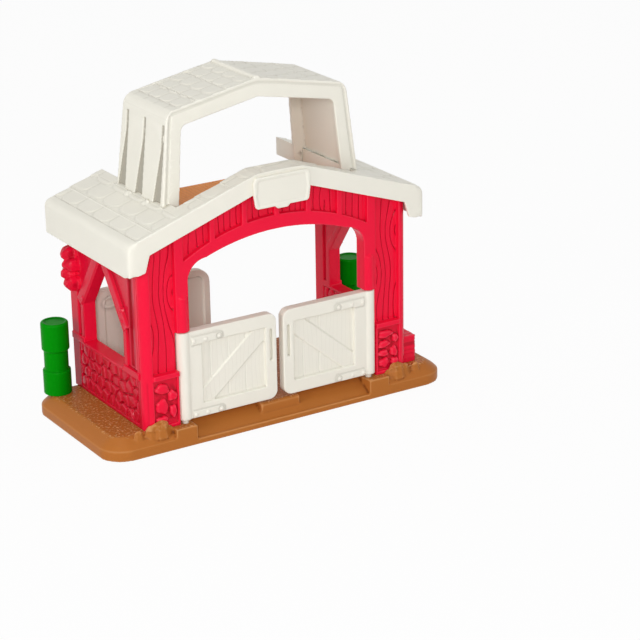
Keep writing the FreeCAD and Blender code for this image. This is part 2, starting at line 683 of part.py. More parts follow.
def bale():
    """Banded bale that stands against the outside of the right wall."""
    x0 = HALF_HOUSE
    x1 = HALF_HOUSE + BALE_WIDTH
    y0 = WALL_Y + BALE_FRONT_Y
    y1 = y0 + BALE_DEPTH
    top = DECK_HEIGHT + BALE_HEIGHT
    body = prism([(x0 - RELIEF * 2, DECK_HEIGHT), (x1, DECK_HEIGHT), (x1, top, BALE_EDGE),
                  (x0 - RELIEF * 2, top)], "y", y0, y1)
    plan = prism([(x0 - RELIEF * 2, y0), (x1, y0, BALE_EDGE), (x1, y1, BALE_EDGE),
                  (x0 - RELIEF * 2, y1)], "z", DECK_HEIGHT, top)
    body = body.common(plan)
    for z in spread(DECK_HEIGHT, top, BALE_BAND_SHARES):
        band = block(x1 - BALE_BAND / 2, x1 + OVERRUN, y0 - OVERRUN, y1 + OVERRUN, z, z + BALE_BAND)
        body = body.cut(band)
    return body


def bundle():
    """Hanging bundle moulded on the outside of a wall's rear corner, right side."""
    y = HOUSE_BACK_Y - BUNDLE_REAR_MARGIN
    foot = HALF_HOUSE - 2 * RELIEF
    lobe_drop = (BUNDLE_HEIGHT - 2 * BUNDLE_RADIUS) / (BUNDLE_LOBES - 1)
    lobes = []
    for index in range(BUNDLE_LOBES):
        z = BUNDLE_TOP_Z - BUNDLE_RADIUS - index * lobe_drop
        shift = BUNDLE_RADIUS / 4 * (-1) ** index
        lobes.append(dome("x", y + shift, z, foot, BUNDLE_RADIUS, BUNDLE_PROUD + 2 * RELIEF))
    return fused(lobes)


def rear_lug():
    """Bracket that holds the top pivot of the rear door, right side before mirroring."""
    foot = DECK_HEIGHT + SWING_GAP * 2 + REAR_HEIGHT + SWING_GAP
    radius = REAR_BARREL_RADIUS
    arm = block(REAR_AXIS_X, INNER_X + RELIEF, REAR_AXIS_Y - radius, REAR_AXIS_Y + REAR_AXIS_BACK,
                foot, foot + LUG_HEIGHT)
    eye = post(radius, REAR_AXIS_X, REAR_AXIS_Y, foot, foot + LUG_HEIGHT)
    hole = post(PIVOT_RADIUS + PIVOT_GAP, REAR_AXIS_X, REAR_AXIS_Y, foot - OVERRUN,
                foot + LUG_HEIGHT - LUG_WALL / 2)
    return fused([arm, eye]).cut(hole)


def left_wall():
    """Left side wall with its bundle and the rear door's bracket."""
    return mirrored(fused([side_wall(), bundle(), rear_lug()]))


def right_wall():
    """Right side wall with its bale."""
    return fused([side_wall(), bale()])


def loft_floor():
    """Plank floor under the roof that rests on the side walls' ledges."""
    half = INNER_X - SEAM_GAP
    front = WALL_Y + REVEAL_DEPTH + SEAM_GAP
    floor = block(-half, half, front, HOUSE_BACK_Y, LOFT_BOTTOM_Z, LOFT_TOP_Z)
    pitch = 2 * half / LOFT_PLANKS
    for index in range(1, LOFT_PLANKS):
        x = -half + index * pitch
        floor = floor.cut(block(x - LOFT_GROOVE / 2, x + LOFT_GROOVE / 2, front - OVERRUN,
                                HOUSE_BACK_Y + OVERRUN, LOFT_TOP_Z - LOFT_GROOVE, LOFT_TOP_Z + OVERRUN))
    for x, y in both_sides(loft_screw_places()):
        floor = floor.cut(pilot(x, y, LOFT_BOTTOM_Z - OVERRUN,
                                LOFT_BOTTOM_Z - LOFT_LEDGE_HEIGHT + LEDGE_SCREW_LENGTH))
    for x, y in both_sides(roof_screw_places() + foot_screw_places()):
        floor = floor.cut(through(x, y, LOFT_BOTTOM_Z - OVERRUN, LOFT_TOP_Z + OVERRUN))
    return floor


def courses(high, low, count):
    """Corners of a slope that is laid in lapped courses, from its high end down."""
    corners = []
    for step in range(1, count):
        share = step / count
        x = high[0] + (low[0] - high[0]) * share
        z = high[1] + (low[1] - high[1]) * share
        corners += [(x, z), (x, z - COURSE_STEP)]
    return corners


def both_halves(right):
    """Corners of the right half from the top down, with the left half added before them."""
    return [(-a, b, *r) for a, b, *r in reversed(right)] + right


def roof_section():
    """Cross-section of the roof from the fascia's lower line to its top slope."""
    ridge = (RIDGE_X, RIDGE_Z)
    eave = (EAVE_X, roof_z(EAVE_X))
    top = [(*ridge, RIDGE_ROUND)] + courses(ridge, eave, ROOF_COURSES) + [(*eave, EAVE_ROUND)]
    lower = [(EAVE_X, EAVE_Z), (HALF_HOUSE - EAVE_INNER_INSET, EAVE_INNER_Z),
             (HALF_HOUSE - FASCIA_KNEE_INSET, FASCIA_KNEE_Z), (FASCIA_RIDGE_X, FASCIA_RIDGE_Z)]
    return both_halves(top + lower)


def roof_hollow(x0, x1, y0, y1):
    """Space under the roof's skin between two distances from the middle."""
    top = [(x1, roof_z(x1) - SKIN_DROP)]
    if x0 < RIDGE_X:
        top += [(RIDGE_X, RIDGE_Z - SKIN_DROP), (x0, RIDGE_Z - SKIN_DROP)]
    else:
        top += [(x0, roof_z(x0) - SKIN_DROP)]
    return prism([(x0, EAVE_Z - OVERRUN), (x1, EAVE_Z - OVERRUN)] + top, "y", y0, y1)


def roof_shell():
    """Roof in one moulding: a front strip and two side lobes with shingle courses."""
    roof = prism(roof_section(), "y", ROOF_FRONT_Y, BACK_Y)
    opening = block(-LOBE_INNER_X, LOBE_INNER_X, STRIP_BACK_Y, BACK_Y + OVERRUN, EAVE_Z, RIDGE_Z + OVERRUN)
    roof = roof.cut(opening)
    front = ROOF_FRONT_Y + ROOF_SKIN
    lobe = roof_hollow(LOBE_INNER_X + ROOF_SKIN, EAVE_X - ROOF_SKIN, front, BACK_Y - ROOF_SKIN)
    strip = roof_hollow(0, LOBE_INNER_X + ROOF_SKIN, front, STRIP_BACK_Y - ROOF_SKIN)
    for part in (lobe, strip):
        roof = roof.cut(part).cut(mirrored(part))
    for x, y in both_sides(roof_screw_places()):
        boss = stub(BOSS_RADIUS, x, y, LOFT_TOP_Z, roof_z(x) - SKIN_DROP)
        roof = roof.fuse(boss).cut(pilot(x, y, LOFT_TOP_Z - OVERRUN, LOFT_BOTTOM_Z + SCREW_LENGTH))
    return roof.removeSplitter()


def handle_section(shrink, count):
    """Cross-section of the handle's outer skin down to the loft floor, its top in courses."""
    ridge = (0, HANDLE_RIDGE_Z - shrink)
    corner = (HANDLE_CORNER_X - shrink, HANDLE_CORNER_Z - shrink)
    right = courses(ridge, corner, count)
    right += [(*corner, HANDLE_CORNER - shrink), (HANDLE_BASE_X - shrink, LOFT_TOP_Z)]
    left = [(-a, b, *r) for a, b, *r in reversed(right)]
    return left + [(*ridge, HANDLE_RIDGE_ROUND)] + right


def grip_section(grow):
    """Cross-section of the space under the handle, grown into its crown."""
    right = [(GRIP_BASE_X + grow, LOFT_TOP_Z),
             (GRIP_CORNER_X + grow, GRIP_CORNER_Z + grow, GRIP_CORNER + grow)]
    left = [(-a, b, *r) for a, b, *r in reversed(right)]
    return right + [(0, GRIP_RIDGE_Z + grow, HANDLE_RIDGE_ROUND)] + left


def handle_lean(inset):
    """Space between the handle's leaning front and back faces, drawn in by an inset."""
    front = HANDLE_Y + inset
    back = HANDLE_BACK_Y - inset
    return prism([(front, LOFT_TOP_Z), (back, LOFT_TOP_Z),
                  (back - HANDLE_LEAN, HANDLE_RIDGE_Z + OVERRUN),
                  (front + HANDLE_LEAN, HANDLE_RIDGE_Z + OVERRUN)],
                 "x", -HANDLE_FOOT_X * 2, HANDLE_FOOT_X * 2)


def lobe_space():
    """Space that the roof's lobes take from the handle's feet, right side."""
    x0 = LOBE_INNER_X - SEAM_GAP
    x1 = EAVE_X
    lift = SEAM_GAP / 2
    return prism([(x0, LOFT_TOP_Z - OVERRUN), (x1, LOFT_TOP_Z - OVERRUN), (x1, roof_z(x1) + lift),
                  (x0, roof_z(x0) + lift)], "y", ROOF_FRONT_Y, BACK_Y)


def across_handle(section):
    """Solid of a cross-section that runs through the whole depth of the handle."""
    return prism(section, "y", HANDLE_Y - OVERRUN, HANDLE_BACK_Y + OVERRUN)


def leg_grooves():
    """Grooves that widen towards the foot and part a leg's outer face into planks, right side."""
    kept = across_handle(handle_section(LEG_GROOVE, 1))
    top = HANDLE_CORNER_Z - LEG_GROOVE_DROP
    foot = HANDLE_FOOT_Z - OVERRUN
    width = HANDLE_DEPTH * LEG_GROOVE_WIDTH_SHARE
    cuts = []
    for y in spread(HANDLE_Y, HANDLE_BACK_Y, LEG_GROOVE_SHARES):
        wedge = prism([(y, top), (y + width, foot), (y, foot)], "x", GRIP_FOOT_X, HALF_HOUSE)
        cuts.append(wedge.cut(kept))
    return cuts


def sunk_top():
    """Space that leaves a rim and a ridge bead proud of the handle's shingles, right side."""
    space = block(RIDGE_BEAD / 2, HANDLE_CORNER_X - HANDLE_CORNER, HANDLE_Y, HANDLE_BACK_Y,
                  HANDLE_CORNER_Z, HANDLE_RIDGE_Z + OVERRUN)
    space = space.common(handle_lean(HANDLE_RIM))
    return space.cut(across_handle(handle_section(HANDLE_SUNK, HANDLE_COURSES)))


def handle_foot(flange, inward):
    """Block behind a flange that is screwed to the loft floor, right side."""
    reach = FOOT_SCREW_INSET + FOOT_BLOCK / 2
    return block(GRIP_FOOT_X, LOBE_INNER_X - SEAM_GAP, flange + inward * HANDLE_SKIN / 2,
                 flange + inward * reach, LOFT_TOP_Z, LOFT_TOP_Z + FOOT_HEIGHT)


def handle_shell():
    """Carry handle in one moulding, a gabled arch with flanges whose legs are open inside."""
    shell = across_handle(handle_section(0, 1)).common(handle_lean(0))
    for cut in leg_grooves() + [sunk_top()]:
        shell = shell.cut(cut).cut(mirrored(cut))
    room = across_handle(handle_section(HANDLE_SKIN, 1)).common(handle_lean(HANDLE_SKIN))
    shell = shell.cut(room)
    for foot in (handle_foot(HANDLE_Y, 1), handle_foot(HANDLE_BACK_Y, -1)):
        shell = shell.fuse(foot).fuse(mirrored(foot))
    shell = shell.cut(across_handle(grip_section(0)))
    shell = shell.cut(lobe_space()).cut(mirrored(lobe_space()))
    for x, y in both_sides(foot_screw_places()):
        shell = shell.cut(pilot(x, y, LOFT_TOP_Z - OVERRUN, LOFT_BOTTOM_Z + LEDGE_SCREW_LENGTH))
    return shell.removeSplitter()


def handle_liner():
    """Panel under the handle's crown that is held between its flanges."""
    liner = across_handle(grip_section(LINER_SKIN)).common(handle_lean(HANDLE_SKIN + SEAM_GAP))
    reach = GRIP_CORNER_X - GRIP_CORNER
    liner = liner.common(block(-reach, reach, HANDLE_Y, HANDLE_BACK_Y, GRIP_CORNER_Z, HANDLE_RIDGE_Z))
    return liner.cut(across_handle(grip_section(0)))


def sign_plate():
    """Bare name plate pegged to the roof's front."""
    front = ROOF_FRONT_Y - SIGN_THICKNESS
    tab = SIGN_FOOT_Z - SIGN_TAB
    corners = [(SIGN_TOP_WIDTH / 2, SIGN_TOP_Z, SIGN_CORNER), (SIGN_WIDTH / 2, SIGN_SIDE_Z, SIGN_CORNER),
               (SIGN_FOOT_WIDTH / 2, SIGN_FOOT_Z, SIGN_CORNER), (SIGN_TAB_WIDTH / 2, SIGN_FOOT_Z),
               (SIGN_TAB_WIDTH / 2 - SIGN_TAB, tab)]
    outer = corners + [(-a, b, *r) for a, b, *r in reversed(corners)]
    plate = prism(outer, "y", front, ROOF_FRONT_Y)
    dish_corners = [(SIGN_TOP_WIDTH / 2 - SIGN_RIM, SIGN_TOP_Z - SIGN_RIM),
                    (SIGN_WIDTH / 2 - SIGN_RIM, SIGN_SIDE_Z),
                    (SIGN_FOOT_WIDTH / 2 - SIGN_RIM, SIGN_FOOT_Z + SIGN_RIM)]
    dish = dish_corners + [(-a, b) for a, b in reversed(dish_corners)]
    plate = plate.cut(prism(dish, "y", front - OVERRUN, front + SIGN_DISH))
    for side in (1, -1):
        x = side * SIGN_PEG_PITCH / 2
        plate = plate.fuse(sign_peg(x, SIGN_PEG_RADIUS, ROOF_SKIN))
    return plate.removeSplitter()


def sign_peg(x, radius, length):
    """Short peg behind the sign plate."""
    corners = polygon(x, SIGN_PEG_Z, radius, STUB_SIDES)
    return prism(corners, "y", ROOF_FRONT_Y - SIGN_THICKNESS / 2, ROOF_FRONT_Y + length)


def front_door(plank_shares):
    """Right front door, a framed plank leaf with a diagonal brace and moulded pivots."""
    top = DOOR_BOTTOM_Z + DOOR_HEIGHT
    front = HINGE_Y - DOOR_THICKNESS / 2
    back = HINGE_Y + DOOR_THICKNESS / 2
    free = DOOR_HALF_GAP
    leaf = prism([(DOOR_AXIS_X, DOOR_BOTTOM_Z), (free, DOOR_BOTTOM_Z, DOOR_CORNER),
                  (free, top, DOOR_CORNER), (DOOR_AXIS_X, top)], "y", front, back)
    x0 = free + DOOR_STILE
    x1 = DOOR_AXIS_X - DOOR_BARREL_RADIUS - DOOR_STILE
    z0 = DOOR_BOTTOM_Z + DOOR_RAIL
    z1 = top - DOOR_RAIL
    floor = front + DOOR_RELIEF
    back_floor = back - DOOR_BACK_RELIEF
    leaf = leaf.cut(block(x0, x1, front - OVERRUN, floor, z0, z1))
    leaf = leaf.cut(block(x0, x1, back_floor, back + OVERRUN, z0, z1))
    for x in spread(x0, x1, plank_shares):
        plank_left = x - PLANK_GROOVE / 2
        plank_right = x + PLANK_GROOVE / 2
        leaf = leaf.cut(block(plank_left, plank_right, front, floor + PLANK_GROOVE, z0, z1))
        leaf = leaf.cut(block(plank_left, plank_right, back_floor - PLANK_GROOVE, back, z0, z1))
    brace = prism([(x1, z0), (x1, z0 + DOOR_BRACE), (x0 + DOOR_BRACE, z1), (x0, z1),
                   (x0, z1 - DOOR_BRACE), (x1 - DOOR_BRACE, z0)],
                  "y", floor - BRACE_PROUD, back_floor + DOOR_BACK_RELIEF / 2)
    slot_x = free + DOOR_STILE / 2
    slot_top = top - SLOT_DROP
    leaf = leaf.cut(block(slot_x - SLOT_WIDTH / 2, slot_x + SLOT_WIDTH / 2, front - OVERRUN,
                          front + SLOT_DEPTH, slot_top - SLOT_HEIGHT, slot_top))
    barrel = post(DOOR_BARREL_RADIUS, DOOR_AXIS_X, HINGE_Y, DOOR_BOTTOM_Z, top)
    foot_pin = DECK_HEIGHT - PIVOT_LENGTH
    head_pin = DOORWAY_TOP_Z + PIVOT_LENGTH
    pin = post(PIVOT_RADIUS, DOOR_AXIS_X, HINGE_Y, foot_pin, head_pin)
    return fused([leaf, brace, barrel, pin])


def right_door():
    """Front door hinged on the right."""
    return front_door(RIGHT_PLANK_SHARES)


def left_door():
    """Front door hinged on the left."""
    return mirrored(front_door(LEFT_PLANK_SHARES))


def rear_door():
    """Dished door across the left half of the open back, hinged on the left."""
    foot = DECK_HEIGHT + SWING_GAP * 2
    top = foot + REAR_HEIGHT
    y0 = REAR_AXIS_Y - REAR_THICKNESS / 2
    y1 = REAR_AXIS_Y + REAR_THICKNESS / 2
    axis_x = -REAR_AXIS_X
    leaf = prism([(axis_x, foot), (REAR_FREE_X, foot, REAR_RIM), (REAR_FREE_X, top, REAR_CORNER),
                  (axis_x, top)], "y", y0, y1)
    low_x = axis_x + REAR_BARREL_RADIUS + REAR_RIM
    high_x = REAR_FREE_X - REAR_RIM
    inner_round = REAR_CORNER - REAR_RIM
    dish = prism([(low_x, foot + REAR_RIM, inner_round), (high_x, foot + REAR_RIM, inner_round),
                  (high_x, top - REAR_RIM, inner_round), (low_x, top - REAR_RIM, inner_round)],
                 "y", y0 - OVERRUN, y1 + OVERRUN)
    core = block(axis_x, REAR_FREE_X, y0 + REAR_DISH, y1 - REAR_DISH, 0, top)
    leaf = leaf.cut(dish.cut(core))
    barrel = post(REAR_BARREL_RADIUS, axis_x, REAR_AXIS_Y, foot, top)
    pin_top = top + SWING_GAP + LUG_HEIGHT - LUG_WALL
    pin = post(PIVOT_RADIUS, axis_x, REAR_AXIS_Y, DECK_HEIGHT - PIVOT_LENGTH, pin_top)
    return fused([leaf, barrel, pin])


def drum_post():
    """Green post of stacked drums, hollow from below with a screw boss, right side."""
    x, y = drum_place()
    neck_z = DRUM_LOWER_HEIGHT
    upper_z = neck_z + DRUM_NECK_HEIGHT
    top_z = upper_z + DRUM_UPPER_HEIGHT
    bevel = DRUM_BEVEL
    profile = [(0, 0), (DRUM_LOWER_RADIUS, 0), (DRUM_LOWER_RADIUS, neck_z), (DRUM_NECK_RADIUS, neck_z),
               (DRUM_NECK_RADIUS, upper_z), (DRUM_UPPER_RADIUS, upper_z),
               (DRUM_UPPER_RADIUS, top_z - bevel), (DRUM_UPPER_RADIUS - bevel, top_z), (0, top_z)]
    body = Part.Face(outline(profile, "y", 0)).revolve(V(0, 0, 0), V(0, 0, 1), 360)
    room = stub(DRUM_NECK_RADIUS - DRUM_SKIN, 0, 0, -OVERRUN, top_z - DRUM_SKIN)
    boss = stub(DRUM_BOSS_RADIUS, 0, 0, 0, DRUM_BOSS_HEIGHT)
    ribs = fused([block(-DRUM_NECK_RADIUS, DRUM_NECK_RADIUS, -TRAY_RIB / 2, TRAY_RIB / 2, 0, top_z / 2),
                  boss])
    body = body.cut(room.cut(ribs)).cut(pilot(0, 0, -OVERRUN, SCREW_LENGTH - BASE_SKIN))
    return body.translated(V(x, y, DECK_HEIGHT))


def screws(places, seat_z, length):
    """Group of separate screws of one kind on both sides."""
    return Part.makeCompound([screw(x, y, seat_z, length) for x, y in both_sides(places)])


def nodes():
    """Every sub-part with its name."""
    plate = sign_plate()
    roof = roof_shell()
    for side in (1, -1):
        x = side * SIGN_PEG_PITCH / 2
        roof = roof.cut(sign_peg(x, SIGN_PEG_RADIUS + SCREW_FIT, ROOF_SKIN + OVERRUN))
    tray_seat = DECK_HEIGHT - BASE_SKIN
    ledge_seat = LOFT_BOTTOM_Z - LOFT_LEDGE_HEIGHT
    post_right = drum_post()
    return {
        "base_tray": base_tray(),
        "front_wall": front_wall(),
        "left_wall": left_wall(),
        "right_wall": right_wall(),
        "loft_floor": loft_floor(),
        "roof_shell": roof,
        "handle_shell": handle_shell(),
        "handle_liner": handle_liner(),
        "sign_plate": plate,
        "left_door": left_door(),
        "right_door": right_door(),
        "rear_door": rear_door(),
        "left_post": mirrored(post_right),
        "right_post": post_right,
        "wall_screws": screws(side_screw_places() + [front_screw_place()], tray_seat, SCREW_LENGTH),
        "post_screws": screws([drum_place()], tray_seat, SCREW_LENGTH),
        "loft_screws": screws(loft_screw_places(), ledge_seat, LEDGE_SCREW_LENGTH),
        "roof_screws": screws(roof_screw_places(), LOFT_BOTTOM_Z, SCREW_LENGTH),
        "handle_screws": screws(foot_screw_places(), LOFT_BOTTOM_Z, LEDGE_SCREW_LENGTH),
    }


os.makedirs("parts", exist_ok=True)
for name, shape in nodes().items():
    shape.exportStep("parts/" + name + ".step")
    print(name, len(shape.Solids), "solids,", shape.isValid(), round(shape.Volume))
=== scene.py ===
import math

import bpy
import numpy as np
from mathutils import Matrix, Vector


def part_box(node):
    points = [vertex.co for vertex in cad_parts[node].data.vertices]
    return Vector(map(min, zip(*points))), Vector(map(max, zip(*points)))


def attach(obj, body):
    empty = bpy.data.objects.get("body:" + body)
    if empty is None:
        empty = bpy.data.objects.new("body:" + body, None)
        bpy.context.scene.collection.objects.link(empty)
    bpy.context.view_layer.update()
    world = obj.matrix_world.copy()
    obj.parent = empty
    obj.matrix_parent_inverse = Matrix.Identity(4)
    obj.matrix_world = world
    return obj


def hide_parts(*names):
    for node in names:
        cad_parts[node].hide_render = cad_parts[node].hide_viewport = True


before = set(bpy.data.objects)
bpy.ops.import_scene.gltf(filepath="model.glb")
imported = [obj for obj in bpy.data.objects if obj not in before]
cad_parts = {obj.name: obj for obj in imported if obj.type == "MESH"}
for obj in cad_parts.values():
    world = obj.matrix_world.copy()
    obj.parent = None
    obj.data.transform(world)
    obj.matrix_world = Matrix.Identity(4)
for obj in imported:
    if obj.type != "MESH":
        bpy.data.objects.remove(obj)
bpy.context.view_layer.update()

# Lengths on the barn are in millimetres. Meshes, the camera's place and the studio are in metres.
MM = 0.001

# Random draws: each call adds its own number to the seed
SEED = 11
NOISE_CELLS = 64

# Mesh detail: voxels, smoothing steps and the share of faces that thinning keeps
VOXEL_CRISP = 0.4
VOXEL_FINE = 0.5
VOXEL_MEDIUM = 0.65
SMOOTHING = 0.5
KEEP_FINE = 0.3
KEEP_COARSE = 0.22
NORMAL_WEIGHT = 80

# Painted shade and highlight: how far a surface lies below or above its blurred self to count as a
# hollow or an edge
HOLLOW_STEPS = 24
HOLLOW_DEPTHS = (0.05, 0.42)
EDGE_HEIGHTS = (0.08, 0.4)
# Share of the painted shade in hollows, by material
HOLLOW_SHADE_SHARE = {"white_plastic": 0.6}

# Part of a normal along a direction at which a face begins to count as facing it, and fully does
FACING = (0.6, 0.9)
FACING_LOOSE = (0.5, 0.8)
FACING_FIRM = (0.7, 0.9)
FACING_LEVEL = (0.7, 0.95)


def node_box(name):
    """Lowest and highest corner of a CAD node."""
    low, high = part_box(name)
    return np.array(low) / MM, np.array(high) / MM


# Places read from the frame
WALL_LOW, WALL_HIGH = node_box("right_wall")
FRONT_LOW, FRONT_HIGH = node_box("front_wall")
ROOF_LOW, ROOF_HIGH = node_box("roof_shell")
HANDLE_LOW, HANDLE_HIGH = node_box("handle_shell")
LOFT_TOP = node_box("loft_floor")[1][2]
DOOR_FRONT = node_box("right_door")[0][1]
FRONT_DEPTH = 6.2
SIDE_DEPTH = 8.4
WALL_Y = WALL_LOW[1] - FRONT_DEPTH
HALF_HOUSE = FRONT_HIGH[0]
INNER_X = HALF_HOUSE - SIDE_DEPTH
DECK_Z = FRONT_LOW[2]


def smooth(value, low, high):
    """Smooth step from 0 at low to 1 at high."""
    share = np.clip((value - low) / (high - low), 0.0, 1.0)
    return share * share * (3.0 - 2.0 * share)


def beyond(value, edge, half):
    """Smooth step from 0 to 1 across an edge."""
    return smooth(value, edge - half, edge + half)


def near(value, target, reach):
    """1 at a target value, falling to 0 at a reach from it."""
    return 1.0 - smooth(np.abs(value - target), 0.5 * reach, reach)


def dome(reach):
    """Height of a half ball, from 1 at its middle to 0 at a reach of 1."""
    return np.sqrt(np.clip(1.0 - reach ** 2, 0.0, 1.0))


def noise(u, v, pattern, seed):
    """Smooth random field from -1 to 1, by a pattern: squeeze of u, squeeze of v and cell."""
    squeeze_u, squeeze_v, cell = pattern
    table = np.random.default_rng(seed).uniform(-1.0, 1.0, (NOISE_CELLS, NOISE_CELLS))
    a, b = u * squeeze_u / cell, v * squeeze_v / cell
    i, j = np.floor(a).astype(int), np.floor(b).astype(int)
    s, t = a - i, b - j
    s, t = s * s * (3 - 2 * s), t * t * (3 - 2 * t)
    i, j = i % NOISE_CELLS, j % NOISE_CELLS
    k, m = (i + 1) % NOISE_CELLS, (j + 1) % NOISE_CELLS
    low = table[i, j] * (1 - s) + table[k, j] * s
    high = table[i, m] * (1 - s) + table[k, m] * s
    return low * (1 - t) + high * t


# Wood grain: width of a line, its slow sway and quicker waver, and the calm core of a knot
GRAIN_WIDTH = 0.5
SWAY = 1.5
SWAY_PATTERN = (0.5, 0.3, 6.0)
WAVER = 0.7
WAVER_PATTERN = (1.0, 0.1, 3.2)
WAVER_SEED = 50
KNOT_CORE = 0.25


def grain(u, v, knots, spacing, seed):
    """Phase of wood grain that runs along v and parts round knots: a whole number is a line."""
    field = u + SWAY * noise(u, v, SWAY_PATTERN, seed)
    field = field + WAVER * noise(u, v, WAVER_PATTERN, seed + WAVER_SEED)
    for knot_u, knot_v, radius, stretch in knots:
        du, dv = u - knot_u, (v - knot_v) / stretch
        square = du * du + dv * dv
        field = field - du * radius * radius / (square + KNOT_CORE * radius * radius)
    return field / spacing


def lines_of(phase, spacing):
    """Share of a cut, from 0 to 1, along the lines of a grain."""
    away = np.abs(phase - np.round(phase)) * spacing
    return np.exp(-((away / GRAIN_WIDTH) ** 2))


# Single stones: how far lobes push out the ellipse, and how flat the tops are
THREE_LOBES = 0.09
FIVE_LOBES = 0.05
PEBBLE_FLATNESS = 2.6


def pebbles(u, v, places):
    """Height share of single rounded stones: middle, half sizes and turn of each."""
    bump = np.zeros_like(u)
    for number, (cu, cv, half_u, half_v, turn) in enumerate(places):
        du, dv = u - cu, v - cv
        cos, sin = math.cos(turn), math.sin(turn)
        a, b = (du * cos + dv * sin) / half_u, (dv * cos - du * sin) / half_v
        angle = np.arctan2(b, a)
        wobble = 1.0 + THREE_LOBES * np.sin(3.0 * angle + number)
        reach = np.hypot(a, b) * (wobble + FIVE_LOBES * np.sin(5.0 * angle))
        bump = np.maximum(bump, np.sqrt(np.clip(1.0 - reach ** PEBBLE_FLATNESS, 0.0, 1.0)))
    return bump


# Cobbles, in shares of their cells: shift, height and reach of a stone, and the gap beside it
COBBLE_JITTER = 0.3
COBBLE_JITTER_UP = 0.8
COBBLE_TOPS = (0.6, 1.0)
COBBLE_REACH = 0.8
COBBLE_BODY = (0.03, 0.32)
COBBLE_FLAT = 0.35
COBBLE_GAP = (0.02, 0.2)
FIELD_BORDER = 1.0
FAR_CELLS = 9.0


def cobbles(u, v, low, high, pitch, seed):
    """Height share and gap share of close-set irregular stones in a field."""
    random = np.random.default_rng(seed)
    columns = round((high[0] - low[0]) / pitch[0])
    rows = round((high[1] - low[1]) / pitch[1])
    width, rise = (high[0] - low[0]) / columns, (high[1] - low[1]) / rows
    nearest = np.full(u.shape, FAR_CELLS)
    second = np.full(u.shape, FAR_CELLS)
    tops = np.zeros_like(u)
    for row in range(rows):
        for column in range(-1, columns + 1):
            jitter = random.uniform(-COBBLE_JITTER, COBBLE_JITTER, 2)
            top = random.uniform(*COBBLE_TOPS)
            cu = low[0] + (column + 0.5 + 0.5 * (row % 2) + jitter[0]) * width
            cv = low[1] + (row + 0.5 + COBBLE_JITTER_UP * jitter[1]) * rise
            away = np.hypot((u - cu) / width, (v - cv) / rise)
            closer = away < nearest
            second = np.where(closer, nearest, np.minimum(second, away))
            tops = np.where(closer, top, tops)
            nearest = np.minimum(nearest, away)
    gap = second - nearest
    inside = smooth(u, low[0], low[0] + FIELD_BORDER) * smooth(high[0] - u, 0.0, FIELD_BORDER)
    inside = inside * smooth(v, low[1], low[1] + FIELD_BORDER)
    inside = inside * smooth(high[1] - v, 0.0, FIELD_BORDER)
    rounded = COBBLE_FLAT + (1.0 - COBBLE_FLAT) * dome(nearest / COBBLE_REACH)
    body = smooth(gap, *COBBLE_BODY) * rounded
    return tops * body * inside, (1.0 - smooth(gap, *COBBLE_GAP)) * inside


# Shingles: uneven tips, the soft edge and gap of each, and its fall from the tip upwards
SHINGLE_CELLS = 32
SHINGLE_GAP = 0.35
SHINGLE_UNDER = 0.22
SHINGLE_FALL = 0.7
SHINGLE_EDGE = (-0.7, 0.35)
TIP_DRAW = (-0.7, 0.9)
TIP_REACH = 0.4
# Place and width of the painted shade along each shingle's edge
CUT_PLACE = 0.1
CUT_WIDTH = 0.55


def shingles(climb, across, pitch, width, corner, seed):
    """Height share of shingles and share of painted shade along their edges, by the way up from
    the lowest tips and across.
    """
    table = np.random.default_rng(seed).uniform(*TIP_DRAW, (SHINGLE_CELLS, SHINGLE_CELLS))
    row = np.floor(climb / pitch).astype(int)
    cell = across / width + 0.5 * (row % 2)
    column = np.floor(cell).astype(int)
    aside = np.abs(cell - column - 0.5) * width
    draw = table[row % SHINGLE_CELLS, column % SHINGLE_CELLS]
    above_tip = climb - row * pitch - TIP_REACH - TIP_REACH * draw
    du = aside - (width / 2 - SHINGLE_GAP - corner)
    dv = corner - above_tip
    outside = np.hypot(np.maximum(du, 0.0), np.maximum(dv, 0.0))
    edge = outside + np.minimum(np.maximum(du, dv), 0.0) - corner
    body = 1.0 - smooth(edge, *SHINGLE_EDGE)
    lift = 1.0 - SHINGLE_FALL * np.clip(above_tip / pitch, 0.0, 1.0)
    height = body * lift + (1.0 - body) * SHINGLE_UNDER
    return height, np.exp(-(((edge - CUT_PLACE) / CUT_WIDTH) ** 2))


def stud(u, v, places, radius):
    """Height share of round studs."""
    bump = np.zeros_like(u)
    for cu, cv in places:
        bump = np.maximum(bump, dome(np.hypot(u - cu, v - cv) / radius))
    return bump


def evaluated_mesh(obj):
    """Mesh of an object with its modifiers applied."""
    graph = bpy.context.evaluated_depsgraph_get()
    return bpy.data.meshes.new_from_object(obj.evaluated_get(graph))


def new_object(name, data):
    """Object in the scene with that mesh, lamp or camera."""
    obj = bpy.data.objects.new(name, data)
    bpy.context.collection.objects.link(obj)
    return obj


def positions(mesh):
    """Places of a mesh's vertices."""
    points = np.empty(len(mesh.vertices) * 3, dtype=np.float32)
    mesh.vertices.foreach_get("co", points)
    return points.reshape(-1, 3).astype(float) / MM


def move_to(mesh, points):
    """Moves a mesh's vertices to new places."""
    mesh.vertices.foreach_set("co", (points * MM).astype(np.float32).ravel())


def normals_of(mesh):
    """Normals at a mesh's vertices."""
    normals = np.empty(len(mesh.vertices) * 3, dtype=np.float32)
    mesh.vertex_normals.foreach_get("vector", normals)
    return normals.reshape(-1, 3).astype(float)


def softened(mesh, steps):
    """Mesh with its edges rounded."""
    holder = new_object("softening", mesh)
    soften = holder.modifiers.new("soft", "SMOOTH")
    soften.factor = SMOOTHING
    soften.iterations = steps
    result = evaluated_mesh(holder)
    bpy.data.objects.remove(holder)
    return result


